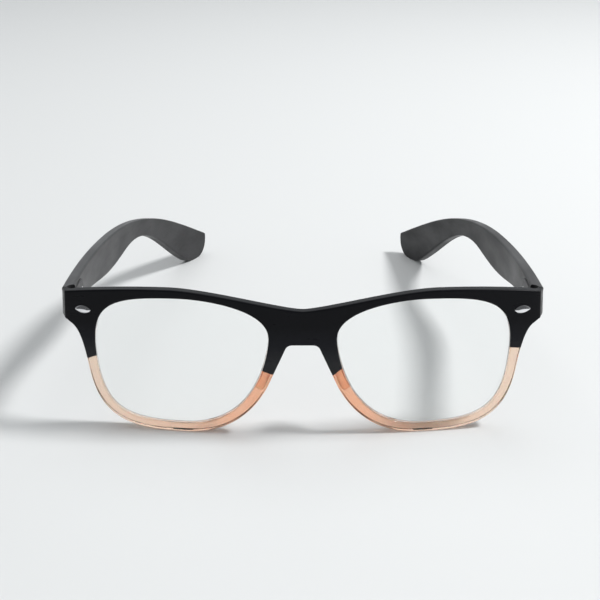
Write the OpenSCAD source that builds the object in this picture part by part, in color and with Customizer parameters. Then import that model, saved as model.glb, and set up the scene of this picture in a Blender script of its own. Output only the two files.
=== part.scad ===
// Trapezoid eyeglasses: a two-tone front that stands on its rims, with two folding temples.
// X runs across the face, Y from the front towards the temple tips, Z up from the table.
// "left" and "right" are as seen from the front, so left is -X.

/* [Lenses] */
// Width of one lens opening
lens_w = 53.9; // [48:0.1:58]
// Height of one lens opening
lens_h = 43.4; // [38:0.1:48]
// Distance between the two lens openings
bridge_w = 20.8; // [16:0.1:24]
// Thickness of a lens
lens_t = 2; // [1.6:0.1:2.1]
// Depth of the front's face in front of a lens
lens_inset = 0.6; // [0.4:0.1:0.7]
// Height of the ridge round a lens edge
ridge_h = 0.55; // [0.3:0.05:0.8]
// Thickness of that ridge
ridge_t = 0.8; // [0.6:0.1:0.9]

/* [Front] */
// Width of the rim under and beside a lens
rim_w = 3; // [2.6:0.1:3.6]
// Width of the rim beside the nose
rim_nose_w = 3.5; // [3:0.1:4.2]
// Height of the brow above a lens
brow_h = 2.8; // [2.2:0.1:5]
// Thickness of the front
front_t = 2.9; // [2.8:0.1:3.6]
// Radius of the front's curve round the face
face_r = 450; // [300:10:900]
// Angle that the front leans back on a table
lean = 4.3; // [0:0.1:8]
// Height of the bridge at its middle
bridge_h = 11.4; // [9:0.1:14]
// Drop of the bridge's top below the brow
bridge_drop = 6.3; // [3:0.1:9]
// Half width of the notch for the nose, at its top
notch_half_w = 4.7; // [4:0.1:6]
// Radius of the notch's upper corners
notch_r = 2.2; // [1:0.1:3]

/* [Endpieces] */
// Width of an endpiece beyond the lens opening
end_w = 9.3; // [8.9:0.1:10.3]
// Height of an endpiece
end_h = 9.1; // [8.8:0.1:11]
// Drop of the endpiece's top below the brow
end_drop = 2; // [1:0.1:4]
// Thickness of an endpiece at its outer end
end_t = 3.2; // [3:0.1:4.2]
// How much wider the endpiece's back is than its face
end_splay = 1.6; // [0.5:0.1:2]
// How much further out its lower corner is than its upper one
end_flare = 0.9; // [0:0.1:1.2]
// Radius of the endpiece's corners
end_round = 0.8; // [0.6:0.1:1.2]

/* [Colour split] */
// Places along the lens edge count 0 at the outer side, 1 at the bottom and 2 at the nose
// Where the left rim changes colour at its outer side
outer_split_left = 0.03; // [-0.1:0.01:0.1]
// Where the right rim changes colour at its outer side
outer_split_right = -0.02; // [-0.1:0.01:0.1]
// Where the left rim changes colour beside the nose
nose_split_left = 1.65; // [1.6:0.01:1.75]
// Where the right rim changes colour beside the nose
nose_split_right = 1.67; // [1.6:0.01:1.75]
// Slant of the left rim's outer split, in degrees from square to the lens edge
outer_slant_left = -16; // [-25:1:25]
// Slant of the right rim's outer split
outer_slant_right = -6; // [-25:1:25]
// Slant of the left rim's split beside the nose
nose_slant_left = 3; // [-10:1:25]
// Slant of the right rim's split beside the nose
nose_slant_right = 20; // [-10:1:25]

/* [Nose pads] */
// Height of a nose pad behind the front
pad_h = 3.8; // [3:0.1:6]
// Radius of a nose pad's round edge
pad_r = 1.3; // [1.1:0.1:1.5]

/* [Temples] */
// Thickness of a temple at its root
temple_t = 3.6; // [3.4:0.1:4.2]
// Thickness of a temple at its tip
tip_t = 3.3; // [2.8:0.1:4]
// Distance from the front's foot to the temple tips
temple_reach = 138; // [130:1:145]
// Height of a temple at its root
root_h = 9; // [8.8:0.1:12]
// Fall of a temple's straight top edge, in degrees
temple_fall = 6.7; // [4:0.1:9]
// Where the top edge starts to bend down
bend_y = 66; // [60:1:72]
// Height of the tip's upper corner above the table
tip_top_z = 9.8; // [8:0.1:12]
// Height of the temple's lowest straight stretch above the table
waist_z = 28.8; // [26:0.1:31]
// How far the temple tips come in towards the head
tip_in = 25.8; // [15:0.1:28]
// Width of the steel core wire
wire_w = 1; // [0.6:0.1:1.2]
// Height of the steel core wire
wire_h = 2; // [1.4:0.1:2.6]

/* [Hinges] */
// Height of a hinge
hinge_h = 6.8; // [6.4:0.1:7.1]
// Radius of a hinge barrel
barrel_r = 1.7; // [1.5:0.05:1.8]
// Depth of the hinge's top below the endpiece's top
hinge_inset = 1.4; // [1:0.1:1.6]
// Thickness of a hinge leaf
leaf_t = 0.9; // [0.7:0.1:1]
// Length of the leaf in an endpiece
front_leaf_l = 6; // [5.6:0.1:6.4]
// Length of the leaf on a temple
temple_leaf_l = 10; // [9:0.5:13]
// Radius of a hinge screw's shank
screw_r = 0.7; // [0.6:0.05:0.8]
// Radius of a hinge screw's head
screw_head_r = 1.25; // [1.1:0.05:1.4]
// Thickness of a hinge screw's head
screw_head_h = 0.7; // [0.5:0.1:0.9]

/* [Studs and rivets] */
// Length of the almond stud on an endpiece
stud_l = 5; // [4.6:0.1:6]
// Height of the almond stud
stud_h = 2.6; // [2.2:0.1:3.2]
// How far the almond stud stands out of the front
stud_out = 0.75; // [0.5:0.05:1]
// Distance from the stud's middle to the endpiece's outer end
stud_in = 6.9; // [6.6:0.1:7.2]
// Distance from the stud's middle to the endpiece's top
stud_down = 5.5; // [5:0.1:6.6]
// Tilt of the stud up towards the outside, in degrees
stud_tilt = 4; // [0:1:8]
// Half the distance between the stud's two shanks
pin_half = 1.4; // [1.2:0.1:1.6]
// Radius of the stud's and rivets' shanks
pin_r = 0.6; // [0.5:0.05:0.7]
// Length of the stud's short shank
short_pin_l = 1.6; // [1.2:0.1:1.8]
// Radius of a temple rivet's head
rivet_r = 1.1; // [0.9:0.1:1.3]
// Thickness of a temple rivet's head
rivet_head_h = 0.5; // [0.4:0.05:0.7]

/* [Fits] */
// Gap between pieces that are seated on each other
seat_gap = 0.05; // [0.02:0.01:0.08]
// Gap round a part that turns on a pin
turn_gap = 0.05; // [0.03:0.01:0.09]
// Gap between hinge barrels, and at the temple's stop face
stop_gap = 0.1; // [0.05:0.05:0.2]
// Gap between a hinge barrel and the plastic round it
barrel_gap = 0.6; // [0.4:0.05:0.8]
// Depth of the small flats on which the glasses stand
foot_cut = 0.15; // [0.1:0.05:0.2]

/* [Hidden] */

$fn = 48;
steps = 16;        // points in each quarter of a lens outline
face_steps = 720;  // sides of the large cylinders that curve the front
far = 100;         // longer than any cut needs
overrun = 1;       // how far a cutting tool runs past the face that it cuts
weld = 0.4;        // how far two shapes of one piece run into each other

// Heights and widths in the front's own plane, from the rims' lowest line
crest_u = rim_w + lens_h + brow_h;
bridge_top_u = crest_u - bridge_drop;
bridge_low_u = bridge_top_u - bridge_h;
end_top_u = crest_u - end_drop;
end_x = bridge_w / 2 + lens_w + end_w;
crest_x = bridge_w / 2 + 0.56 * lens_w;

// Depths behind the front's foremost point
function sag(x) = face_r - sqrt(face_r * face_r - x * x);
end_back = sag(end_x) + end_t;
deep = end_back + overrun;
hinge_x = end_x - temple_t;
front_leaf_x = hinge_x - front_leaf_l;
hinge_top_u = end_top_u - hinge_inset;
hinge_low_u = hinge_top_u - hinge_h;
barrel_h = (hinge_h - 2 * stop_gap) / 3;
barrel_low_u = hinge_low_u + barrel_h + stop_gap;
ridge_depth = lens_inset + (lens_t - ridge_t) / 2;

// The endpiece's back is a flat pad round the leaf, with a ramp down to the thinner rim
pad_margin = 1.6;     // from the leaf to the pad's inner end
pad_below = 2.6;      // from the hinge to the pad's lower end
ramp_run = 12;        // length of the ramp towards the bridge
ramp_fall = 6;        // length of the ramp downwards
ramp_x = front_leaf_x - pad_margin;
ramp_start = ramp_x - ramp_run;
ramp_u = hinge_low_u - pad_below;

// The stud's long shank ends inside the leaf
stud_x = end_x - stud_in;
pin_end = 0.4;        // from the shank's end to the leaf's back
long_pin_l = end_back - sag(stud_x - pin_half) - pin_end;

// The front is lifted until its rear lower edge stands on the table by the depth of its flat
foot_x = bridge_w / 2 + lens_w / 2;
stand_z = (sag(foot_x) + front_t) * sin(lean) - foot_cut;
origin_back = temple_reach / 2;

// Lens outline: four curves between the outermost points of the opening
outer_pt = [bridge_w / 2 + lens_w, rim_w + 0.57 * lens_h];
low_pt = [bridge_w / 2 + 0.5 * lens_w, rim_w];
nose_pt = [bridge_w / 2, rim_w + 0.71 * lens_h];
top_pt = [bridge_w / 2 + 0.5 * lens_w, rim_w + lens_h];
// How far each curve keeps straight on from its ends, as a share of the way to the corner
lens_curves = [
    corner_curve(outer_pt, low_pt, [outer_pt.x, low_pt.y], 0.89, 0.70),
    corner_curve(low_pt, nose_pt, [nose_pt.x, low_pt.y], 0.86, 0.17),
    corner_curve(nose_pt, top_pt, [nose_pt.x, top_pt.y], 0.78, 0.30),
    corner_curve(top_pt, outer_pt, [outer_pt.x, top_pt.y], 0.72, 0.89)];

function corner_curve(a, b, corner, near, away) =
    [a, a + near * (corner - a), b + away * (corner - b), b];
function unit(v) = v / norm(v);
function turned(v, angle) = [v.x * cos(angle) - v.y * sin(angle), v.x * sin(angle) + v.y * cos(angle)];
function along(c, t) = pow(1 - t, 3) * c[0] + 3 * t * pow(1 - t, 2) * c[1]
    + 3 * t * t * (1 - t) * c[2] + t * t * t * c[3];
function heading(c, t) = unit(pow(1 - t, 2) * (c[1] - c[0]) + 2 * t * (1 - t) * (c[2] - c[1])
    + t * t * (c[3] - c[2]));
function curve(c, n) = [for (i = [0 : n - 1]) along(c, i / n)];
function flipped(path) = [for (i = [len(path) - 1 : -1 : 0]) path[i]];

// A round corner at b between the lines from a and to c
function fillet(a, b, c, r, n = 5) =
    let (u = unit(a - b), w = unit(c - b), half = acos(u * w) / 2,
        centre = b + unit(u + w) * r / sin(half),
        first = b + u * r / tan(half) - centre,
        turn = (180 - 2 * half) * sign(cross(b - a, c - b)))
    [for (i = [0 : n]) centre + turned(first, turn * i / n)];

// A place along the lens edge, and its place moved out by w
function lens_place(s) = let (k = (s + 4) % 4) [floor(k), k - floor(k)];
function lens_out(s) = let (k = lens_place(s)) turned(heading(lens_curves[k[0]], k[1]), 90);
function lens_edge(s, w) = let (k = lens_place(s)) along(lens_curves[k[0]], k[1]) + w * lens_out(s);
function lens_ring(w) = [for (i = [0 : 4 * steps - 1]) lens_edge(i / steps, w)];

// Outline of the right half of the front, from the top of the bridge clockwise to its underside
brow_in = [[0, bridge_top_u], [0.14 * crest_x, bridge_top_u], [0.69 * crest_x, crest_u], [crest_x, crest_u]];
end_run = 2;          // straight run of the brow before the endpiece's corner
end_slope = 0.1;      // slope of that run
brow_end = [end_x - end_round, end_top_u];
brow_out = [[crest_x, crest_u], [crest_x + 0.5 * (end_x - crest_x), crest_u],
    brow_end + end_run * [-1, end_slope], brow_end];
end_top = [end_x, end_top_u];
end_low = [end_x + end_flare, end_top_u - end_h];
// Under the endpiece the outline sweeps in and joins the rim a little below the lens's outermost point
sweep_way = unit([-3.7, -1]);
sweep_lead = 1.1;     // from the endpiece's lower corner to the sweep
sweep_near = 3.7;     // straight run at the sweep's start
sweep_far = 13.3;     // straight run at its end
rim_join = 0.1;       // place along the lens edge where the rim's even width starts
rim_leave = 1.55;     // and where it ends, beside the nose
sweep_start = end_low + sweep_lead * sweep_way;
function rim_at(s) = rim_w + (rim_nose_w - rim_w) * max(0, s - 1) / (rim_leave - 1);
sweep = [sweep_start, sweep_start + sweep_near * sweep_way,
    lens_edge(rim_join, rim_w) + turned(lens_out(rim_join), 90) * sweep_far, lens_edge(rim_join, rim_w)];
notch_top = [notch_half_w, bridge_low_u];
half_outline = concat(curve(brow_in, steps), curve(brow_out, steps),
    fillet(brow_out[2], end_top, end_low, end_round),
    fillet(end_top, end_low, sweep_start, end_round),
    curve(sweep, steps),
    [for (s = [rim_join : 1 / steps : rim_leave]) lens_edge(s, rim_at(s))],
    fillet(lens_edge(rim_leave, rim_nose_w), notch_top, [0, bridge_low_u], notch_r), [[0, bridge_low_u]]);
front_outline = concat(half_outline,
    [for (i = [len(half_outline) - 2 : -1 : 1]) [-half_outline[i].x, half_outline[i].y]]);

// Temple seen from the side, as distance behind the front's foot and height above the table
root_y = end_back * cos(lean) + end_top_u * sin(lean);
root_top_z = stand_z - end_back * sin(lean) + end_top_u * cos(lean);
root_lead = 8;        // what is drawn ahead of the stop face and cut off there
root_start_y = root_y - root_lead;
bend_z = root_top_z - (bend_y - root_y) * tan(temple_fall);
fall_way = [cos(temple_fall), -sin(temple_fall)];
bend_pt = [bend_y, bend_z];
tip_top = [temple_reach, tip_top_z];
root_low = [root_y, root_top_z - root_h];
waist_in = 60;        // from the waist to the tip's end
waist_pt = [temple_reach - waist_in, waist_z];
tip_low_in = 13.5;    // from the foot of the bend to the tip's end
tip_low_z = 2.7;      // its height above the table
tip_low = [temple_reach - tip_low_in, tip_low_z];
// Straight runs at the ends of the temple's curves, which set how tightly each one bends
bend_run = 34.6 * fall_way;
tip_top_run = [-23.7, 18.2];
root_run = [30.6, -1.2];
waist_near_run = [-28.3, -3.4];
waist_far_run = [23.5, 2.8];
tip_low_run = [-15.7, 14.5];
// The round end stands on the table, so its curve dips just below and the flat is cut there
end_low_run = [5.8, -5.4];
end_top_run = [0.4, -11.6];
top_bend = [bend_pt, bend_pt + bend_run, tip_top + tip_top_run, tip_top];
low_near = [root_low, root_low + root_run, waist_pt + waist_near_run, waist_pt];
low_far = [waist_pt, waist_pt + waist_far_run, tip_low + tip_low_run, tip_low];
tip_end = [tip_low, tip_low + end_low_run, tip_top + end_top_run, tip_top];
top_edge = concat([[root_start_y, root_top_z + (root_y - root_start_y) * tan(temple_fall)]],
    curve(top_bend, 2 * steps), [tip_top]);
low_edge = concat([[root_start_y, root_low.y]], curve(low_near, steps), curve(low_far, steps), [tip_low]);
temple_side = concat(top_edge, flipped(curve(tip_end, steps)), flipped(low_edge));

// Temple seen from above: its outer face, and any layer under it from share a to b of the wall
bow_near = [3.6, 41.7];   // handles of the bow, from the endpiece's outer end
bow_far = [1.6, 84.4];
plan_lead = 1;            // where the bow starts ahead of the root
plan_over = 2;            // what is drawn past the tip
plan_curve = [[end_x, root_y - plan_lead], [end_x, root_y] + bow_near,
    [end_x, root_y] + bow_far, [end_x - tip_in, temple_reach + plan_over]];
plan_start = [end_x, root_start_y];
plan_end = plan_curve[3] + root_lead * heading(plan_curve, 1);
plan_outer = concat([plan_start], curve(plan_curve, 2 * steps), [plan_curve[3], plan_end]);
function plan_way(i) = unit(plan_outer[min(i + 1, len(plan_outer) - 1)] - plan_outer[max(i - 1, 0)]);
function wall_at(i) = temple_t + (tip_t - temple_t) * i / (len(plan_outer) - 1);
function plan_layer(depth) = [for (i = [0 : len(plan_outer) - 1])
    plan_outer[i] + depth * wall_at(i) * turned(plan_way(i), 90)];
function plan_x(y, depth) = lookup(y, [for (p = plan_layer(depth)) [p.y, p.x]]);
function edge_z(edge, y) = lookup(y, edge);
function mid_z(y) = (edge_z(top_edge, y) + edge_z(low_edge, y)) / 2;

// The core wire runs along the middle of the temple
wire_lead = 4;        // from the temple's leaf to the wire
wire_end = 30;        // from the wire to the tip's end
wire_from = root_y + temple_leaf_l + wire_lead;
wire_to = temple_reach - wire_end;
wire_places = [for (i = [0 : steps]) wire_from + (wire_to - wire_from) * i / steps];

// Rivets through the temple's leaf
rivet_ys = [root_y + temple_leaf_l / 2, root_y + temple_leaf_l - pad_margin];
rivet_z = root_top_z - hinge_inset - hinge_h / 2;

// Draws an outline in the front's plane and gives it depth
module in_depth(first, last) {
    translate([0, last, 0])
        rotate([90, 0, 0])
            linear_extrude(last - first)
                children();
}

// Draws a temple's side view and gives it width
module in_width() {
    rotate([90, 0, 90])
        linear_extrude(far)
            children();
}

// The layer of the curved front between two depths behind its face
module face_layer(first, last) {
    translate([0, face_r, -overrun])
        difference() {
            cylinder(r = face_r - first, h = crest_u + 2 * overrun, $fn = face_steps);
            translate([0, 0, -overrun])
                cylinder(r = face_r - last, h = crest_u + 4 * overrun, $fn = face_steps);
        }
}

// Places what is drawn in the front's own frame
module on_front() {
    translate([0, -origin_back, stand_z])
        rotate([-lean, 0, 0])
            children();
}

// Places what is drawn as seen from the side and above
module on_table() {
    translate([0, -origin_back, 0])
        children();
}

// Everything below the table top, which is cut off
module below_table() {
    translate([-far, -far, -far])
        cube([2 * far, 2 * far, far]);
}

module left() {
    mirror([1, 0, 0])
        children();
}

// Outline of a lens opening, moved out by w
module opening(w) {
    polygon(lens_ring(w));
}

module both_sides() {
    children();
    left()
        children();
}

// The part of the front that has the light colour, on the right side
module light_zone(outer_at, outer_slant, nose_at, nose_slant) {
    inside = 1.5;     // how far the cuts start inside the opening
    outer_l = 8;
    nose_l = 5.5;
    edge_x = 0.2;     // keeps the two sides' zones apart under the bridge
    outer_way = turned(lens_out(outer_at), outer_slant);
    nose_way = turned(lens_out(nose_at), nose_slant);
    outer_cut = lens_edge(outer_at, 0);
    nose_cut = lens_edge(nose_at, 0);
    nose_end = nose_cut + nose_l * nose_way;
    in_depth(-overrun, deep)
        polygon([nose_cut - inside * nose_way, outer_cut - inside * outer_way,
            outer_cut + outer_l * outer_way, [end_x, -overrun], [edge_x, -overrun],
            [edge_x, nose_end.y], nose_end]);
}

module light_zone_left() {
    left()
        light_zone(outer_split_left, outer_slant_left, nose_split_left, nose_slant_left);
}

module light_zone_right() {
    light_zone(outer_split_right, outer_slant_right, nose_split_right, nose_slant_right);
}

// The groove round a lens opening that holds the lens's ridge
module lens_groove() {
    intersection() {
        in_depth(-overrun, deep)
            opening(ridge_h + seat_gap);
        face_layer(ridge_depth - seat_gap, ridge_depth + ridge_t + seat_gap);
    }
}

// The whole curved front, before it is split into its two colours
module front_blank() {
    difference() {
        intersection() {
            in_depth(-overrun, end_back)
                difference() {
                    polygon(front_outline);
                    opening(0);
                    left()
                        opening(0);
                }
            face_layer(0, front_t);
        }
        both_sides()
            lens_groove();
    }
}

// Everything under a slope that falls back from the front's thin top edge
module below_top_slope() {
    thin = sag(ramp_start) + front_t;
    slant = (end_back - thin) / (end_x - ramp_start);
    multmatrix([[1, 0, 0, 0], [slant, 1, 0, thin - slant * ramp_start], [0, 0, 1, 0]])
        in_width()
            polygon([[-far, 0], [end_top_u, 0], [-far, end_top_u + far]]);
}

// Extra thickness behind an endpiece, with the flat face that a temple stops against
module endpiece_back() {
    outer_x = end_x + end_flare;
    difference() {
        intersection() {
            in_depth(0, end_back)
                difference() {
                    polygon(half_outline);
                    opening(0);
                }
            translate([0, 0, -overrun])
                linear_extrude(crest_u + 2 * overrun)
                    polygon([[ramp_start, sag(ramp_start) + front_t - weld], [ramp_x, end_back],
                        [outer_x, end_back], [outer_x, sag(end_x) + front_t / 2],
                        [ramp_x, sag(ramp_x) + front_t / 2]]);
            in_width()
                polygon([[0, ramp_u - ramp_fall], [sag(ramp_x) + front_t - weld, ramp_u - ramp_fall],
                    [end_back, ramp_u], [end_back, crest_u], [0, crest_u]]);
            below_top_slope();
        }
        lens_groove();
    }
}

// What is cut off an endpiece's outer side, so that the side widens from the face to the back
module splay_cut() {
    face_x = end_x - end_splay;
    flare_slope = end_flare / end_h;
    multmatrix([[1, 0, -flare_slope, flare_slope * end_top_u], [0, 1, 0, 0], [0, 0, 1, 0]])
        linear_extrude(crest_u)
            polygon([[face_x, -overrun], [face_x, sag(face_x)], [end_x, end_back],
                [end_x + far, end_back], [end_x + far, -overrun]]);
}

// A stud's place: square to the curved face, tilted a little up towards the outside
module at_stud() {
    translate([stud_x, sag(stud_x), end_top_u - stud_down])
        rotate([0, 0, asin(stud_x / face_r)])
            rotate([90, -stud_tilt, 0])
                children();
}

// The stud's two shanks, the long one through the hinge leaf
module stud_pins(r, more) {
    translate([-pin_half, 0, -long_pin_l - more])
        cylinder(r = r, h = long_pin_l + more);
    translate([pin_half, 0, -short_pin_l - more])
        cylinder(r = r, h = short_pin_l + more);
}

// The hinge's turning axis, in the front's frame
module at_hinge(u) {
    translate([hinge_x, end_back, u])
        children();
}

// Room behind the endpiece for the barrels and the front leaf
module hinge_recess() {
    at_hinge(hinge_low_u - stop_gap)
        cylinder(r = barrel_r + stop_gap, h = far);
    translate([front_leaf_x - seat_gap, end_back - leaf_t - seat_gap, hinge_low_u - stop_gap])
        cube([hinge_x - front_leaf_x, far, hinge_h + 2 * stop_gap]);
}

module front_upper() {
    color([0.09, 0.09, 0.1])
        on_front()
            difference() {
                union() {
                    front_blank();
                    both_sides()
                        endpiece_back();
                }
                light_zone_left();
                light_zone_right();
                both_sides() {
                    splay_cut();
                    hinge_recess();
                    at_stud()
                        stud_pins(pin_r + seat_gap, seat_gap);
                }
            }
}

module lower_rim_right() {
    color([0.93, 0.74, 0.6])
        difference() {
            on_front()
                intersection() {
                    front_blank();
                    light_zone_right();
                }
            below_table();
        }
}

module lower_rim_left() {
    color([0.93, 0.74, 0.6])
        difference() {
            on_front()
                intersection() {
                    front_blank();
                    light_zone_left();
                }
            below_table();
        }
}

// A soft-edged wedge on the back of the nose side of a rim
module nose_pad() {
    places = [1.52, 1.62, 1.74, 1.84];    // along the lens edge
    heights = [0.35, 0.95, 1, 0.55];      // as shares of the pad's height
    towards_lens = 0.12;                  // how far the pad's crest leans over
    color([0.9, 0.66, 0.48])
        on_front()
            intersection() {
                hull()
                    for (i = [0 : len(places) - 1]) {
                        at = lens_edge(places[i], rim_nose_w / 2);
                        rise = heights[i] * pad_h;
                        translate([at.x, sag(at.x) + front_t, at.y])
                            sphere(r = pad_r, $fn = 20);
                        translate([at.x + towards_lens * rise, sag(at.x) + front_t + rise - pad_r, at.y])
                            sphere(r = pad_r, $fn = 20);
                    }
                translate([0, face_r, 0])
                    cylinder(r = face_r - front_t - seat_gap / 2, h = crest_u, $fn = face_steps);
            }
}

// A lens with the ridge that sits in the rims' groove
module lens() {
    color([0.85, 0.93, 0.95, 0.35])
        on_front() {
            intersection() {
                in_depth(-overrun, deep)
                    opening(-seat_gap);
                face_layer(lens_inset, lens_inset + lens_t);
            }
            intersection() {
                in_depth(-overrun, deep)
                    opening(ridge_h);
                face_layer(ridge_depth, ridge_depth + ridge_t);
            }
        }
}

// An almond head, domed, on two shanks
module endpiece_stud() {
    bow_r = (stud_l * stud_l / 4 + stud_h * stud_h / 4) / stud_h;
    dome_r = (stud_l * stud_l / 4 + stud_out * stud_out) / (2 * stud_out);
    color([0.86, 0.86, 0.88])
        on_front()
            at_stud() {
                intersection() {
                    translate([0, bow_r - stud_h / 2, 0])
                        cylinder(r = bow_r, h = stud_out);
                    translate([0, stud_h / 2 - bow_r, 0])
                        cylinder(r = bow_r, h = stud_out);
                    translate([0, 0, stud_out - dome_r])
                        sphere(r = dome_r, $fn = 96);
                }
                stud_pins(pin_r, 0);
            }
}

// Leaf in the endpiece with the upper and lower barrels
module front_hinge() {
    color([0.7, 0.71, 0.73])
        on_front()
            difference() {
                union() {
                    translate([front_leaf_x, end_back - leaf_t, hinge_low_u])
                        cube([hinge_x - front_leaf_x, leaf_t, hinge_h]);
                    at_hinge(hinge_low_u)
                        cylinder(r = barrel_r, h = hinge_h);
                }
                at_hinge(barrel_low_u - stop_gap)
                    cylinder(r = barrel_r + stop_gap, h = barrel_h + 2 * stop_gap);
                at_hinge(hinge_low_u - overrun)
                    cylinder(r = screw_r + turn_gap, h = hinge_h + 2 * overrun);
                at_hinge(hinge_top_u - screw_head_h - seat_gap)
                    cylinder(r = screw_head_r + seat_gap, h = far);
                at_stud()
                    stud_pins(pin_r + seat_gap, front_t);
            }
}

// Slotted screw down through the three barrels
module hinge_screw() {
    slot_w = 0.4;
    slot_d = 0.35;
    color([0.8, 0.8, 0.82])
        on_front()
            difference() {
                union() {
                    at_hinge(hinge_low_u)
                        cylinder(r = screw_r, h = hinge_h - screw_head_h);
                    at_hinge(hinge_top_u - screw_head_h)
                        cylinder(r = screw_head_r, h = screw_head_h);
                }
                at_hinge(hinge_top_u - slot_d)
                    translate([-far / 2, -slot_w / 2, 0])
                        cube([far, slot_w, far]);
            }
}

// Space for the leaf on the temple's inner face
module temple_leaf_space(gap) {
    translate([hinge_x - gap, end_back + barrel_r + 2 * stop_gap - gap, hinge_low_u - gap])
        cube([leaf_t + 2 * gap, temple_leaf_l - barrel_r, hinge_h + 2 * gap]);
}

// Leaf on the temple with the middle barrel
module temple_hinge() {
    color([0.7, 0.71, 0.73])
        difference() {
            on_front()
                difference() {
                    union() {
                        temple_leaf_space(0);
                        translate([hinge_x, end_back, barrel_low_u])
                            cube([leaf_t, 3 * barrel_r, barrel_h]);
                        at_hinge(barrel_low_u)
                            cylinder(r = barrel_r, h = barrel_h);
                    }
                    at_hinge(hinge_low_u)
                        cylinder(r = screw_r + turn_gap, h = hinge_h);
                }
            on_table()
                rivet_shanks(pin_r + seat_gap);
        }
}

// Shanks of the two rivets, from the leaf's inner face to the temple's outer face
module rivet_shanks(r) {
    for (y = rivet_ys)
        translate([hinge_x, y, rivet_z])
            rotate([0, 90, 0])
                cylinder(r = r, h = plan_x(y, 0) - hinge_x);
}

module rivet_heads(r, thick) {
    for (y = rivet_ys)
        translate([plan_x(y, 0) - thick, y, rivet_z])
            rotate([0, 90, 0])
                cylinder(r = r, h = thick + seat_gap);
}

module temple_rivets() {
    color([0.8, 0.8, 0.82])
        on_table() {
            rivet_shanks(pin_r);
            rivet_heads(rivet_r, rivet_head_h);
        }
}

// The core wire, or with a gap the channel that holds it
module wire_shape(gap) {
    side_half = wire_h / 2 + gap;
    plan_half = wire_w / 2 + gap;
    intersection() {
        in_width()
            polygon(concat([for (y = wire_places) [y, mid_z(y) + side_half]],
                flipped([for (y = wire_places) [y, mid_z(y) - side_half]])));
        linear_extrude(far)
            polygon(concat([for (y = wire_places) [plan_x(y, 0.5) + plan_half, y]],
                flipped([for (y = wire_places) [plan_x(y, 0.5) - plan_half, y]])));
    }
}

module core_wire() {
    color([0.6, 0.61, 0.63])
        on_table()
            wire_shape(0);
}

module temple() {
    color([0.3, 0.3, 0.31])
        difference() {
            on_table()
                difference() {
                    intersection() {
                        in_width()
                            polygon(temple_side);
                        linear_extrude(far)
                            polygon(concat(plan_outer, flipped(plan_layer(1))));
                    }
                    wire_shape(seat_gap);
                    rivet_shanks(pin_r + seat_gap);
                    rivet_heads(rivet_r + seat_gap, rivet_head_h + seat_gap);
                }
            on_front() {
                // The stop face, square to the front
                translate([0, end_back + stop_gap - far, -far])
                    cube([far, far, 2 * far]);
                at_hinge(-far)
                    cylinder(r = barrel_r + barrel_gap, h = 2 * far);
                temple_leaf_space(seat_gap);
            }
            below_table();
        }
}

module nose_pad_right() nose_pad();
module nose_pad_left() left() nose_pad();
module lens_right() lens();
module lens_left() left() lens();
module endpiece_stud_right() endpiece_stud();
module endpiece_stud_left() left() endpiece_stud();
module front_hinge_right() front_hinge();
module front_hinge_left() left() front_hinge();
module hinge_screw_right() hinge_screw();
module hinge_screw_left() left() hinge_screw();
module temple_right() temple();
module temple_left() left() temple();
module temple_hinge_right() temple_hinge();
module temple_hinge_left() left() temple_hinge();
module temple_rivets_right() temple_rivets();
module temple_rivets_left() left() temple_rivets();
module core_wire_right() core_wire();
module core_wire_left() left() core_wire();

front_upper();
lower_rim_left();
lower_rim_right();
nose_pad_left();
nose_pad_right();
lens_left();
lens_right();
endpiece_stud_left();
endpiece_stud_right();
front_hinge_left();
front_hinge_right();
hinge_screw_left();
hinge_screw_right();
temple_left();
temple_right();
temple_hinge_left();
temple_hinge_right();
temple_rivets_left();
temple_rivets_right();
core_wire_left();
core_wire_right();
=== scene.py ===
# %% [markdown]
# # Trapezoid eyeglasses
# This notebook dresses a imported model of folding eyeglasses. The model's solids are exact but plain: sharp
# edges, one colour each. Here each piece that shows gets its rounded edges and its finish. Every new
# surface is a grid of points that numpy works out from a formula, so no vertex is placed by hand.
# Lengths are in millimetres until a mesh is made, because that is how a frame maker writes them.
# Pieces that come in pairs are drawn once, on the right, where x is positive, and mirrored for the left.

# %% Load the fixed frame
import bmesh
import bpy
import numpy as np
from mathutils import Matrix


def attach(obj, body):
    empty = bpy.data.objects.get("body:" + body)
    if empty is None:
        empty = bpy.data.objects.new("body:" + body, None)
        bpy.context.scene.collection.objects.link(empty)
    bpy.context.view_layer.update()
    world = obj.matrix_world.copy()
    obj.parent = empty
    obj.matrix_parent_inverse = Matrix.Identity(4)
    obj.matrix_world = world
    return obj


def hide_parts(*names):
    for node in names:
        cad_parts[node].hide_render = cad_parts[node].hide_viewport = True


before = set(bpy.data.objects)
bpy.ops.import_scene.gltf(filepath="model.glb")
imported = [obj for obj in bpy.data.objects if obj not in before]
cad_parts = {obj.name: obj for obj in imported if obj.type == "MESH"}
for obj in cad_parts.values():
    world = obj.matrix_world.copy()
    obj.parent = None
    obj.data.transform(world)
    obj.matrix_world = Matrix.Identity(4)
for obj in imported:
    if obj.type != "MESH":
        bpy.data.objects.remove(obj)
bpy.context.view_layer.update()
MM = 0.001

# %% [markdown]
# The photograph looks down on the open glasses from the front. A camera is known by its place, its tilt
# and its focal length. All three came from fitting the rims and the temple tips, which stand on one table.
# The glasses' middle lies a little right of the picture's middle, and a small lens shift does that.

# %% Camera
IMAGE_PX = 600
FOCAL_PX = 800
MIDDLE_PX = 302.7
SENSOR_W = 36
CAMERA_AT = (0, -273.2, 159.3)
CAMERA_DOWN = 28.4

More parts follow.
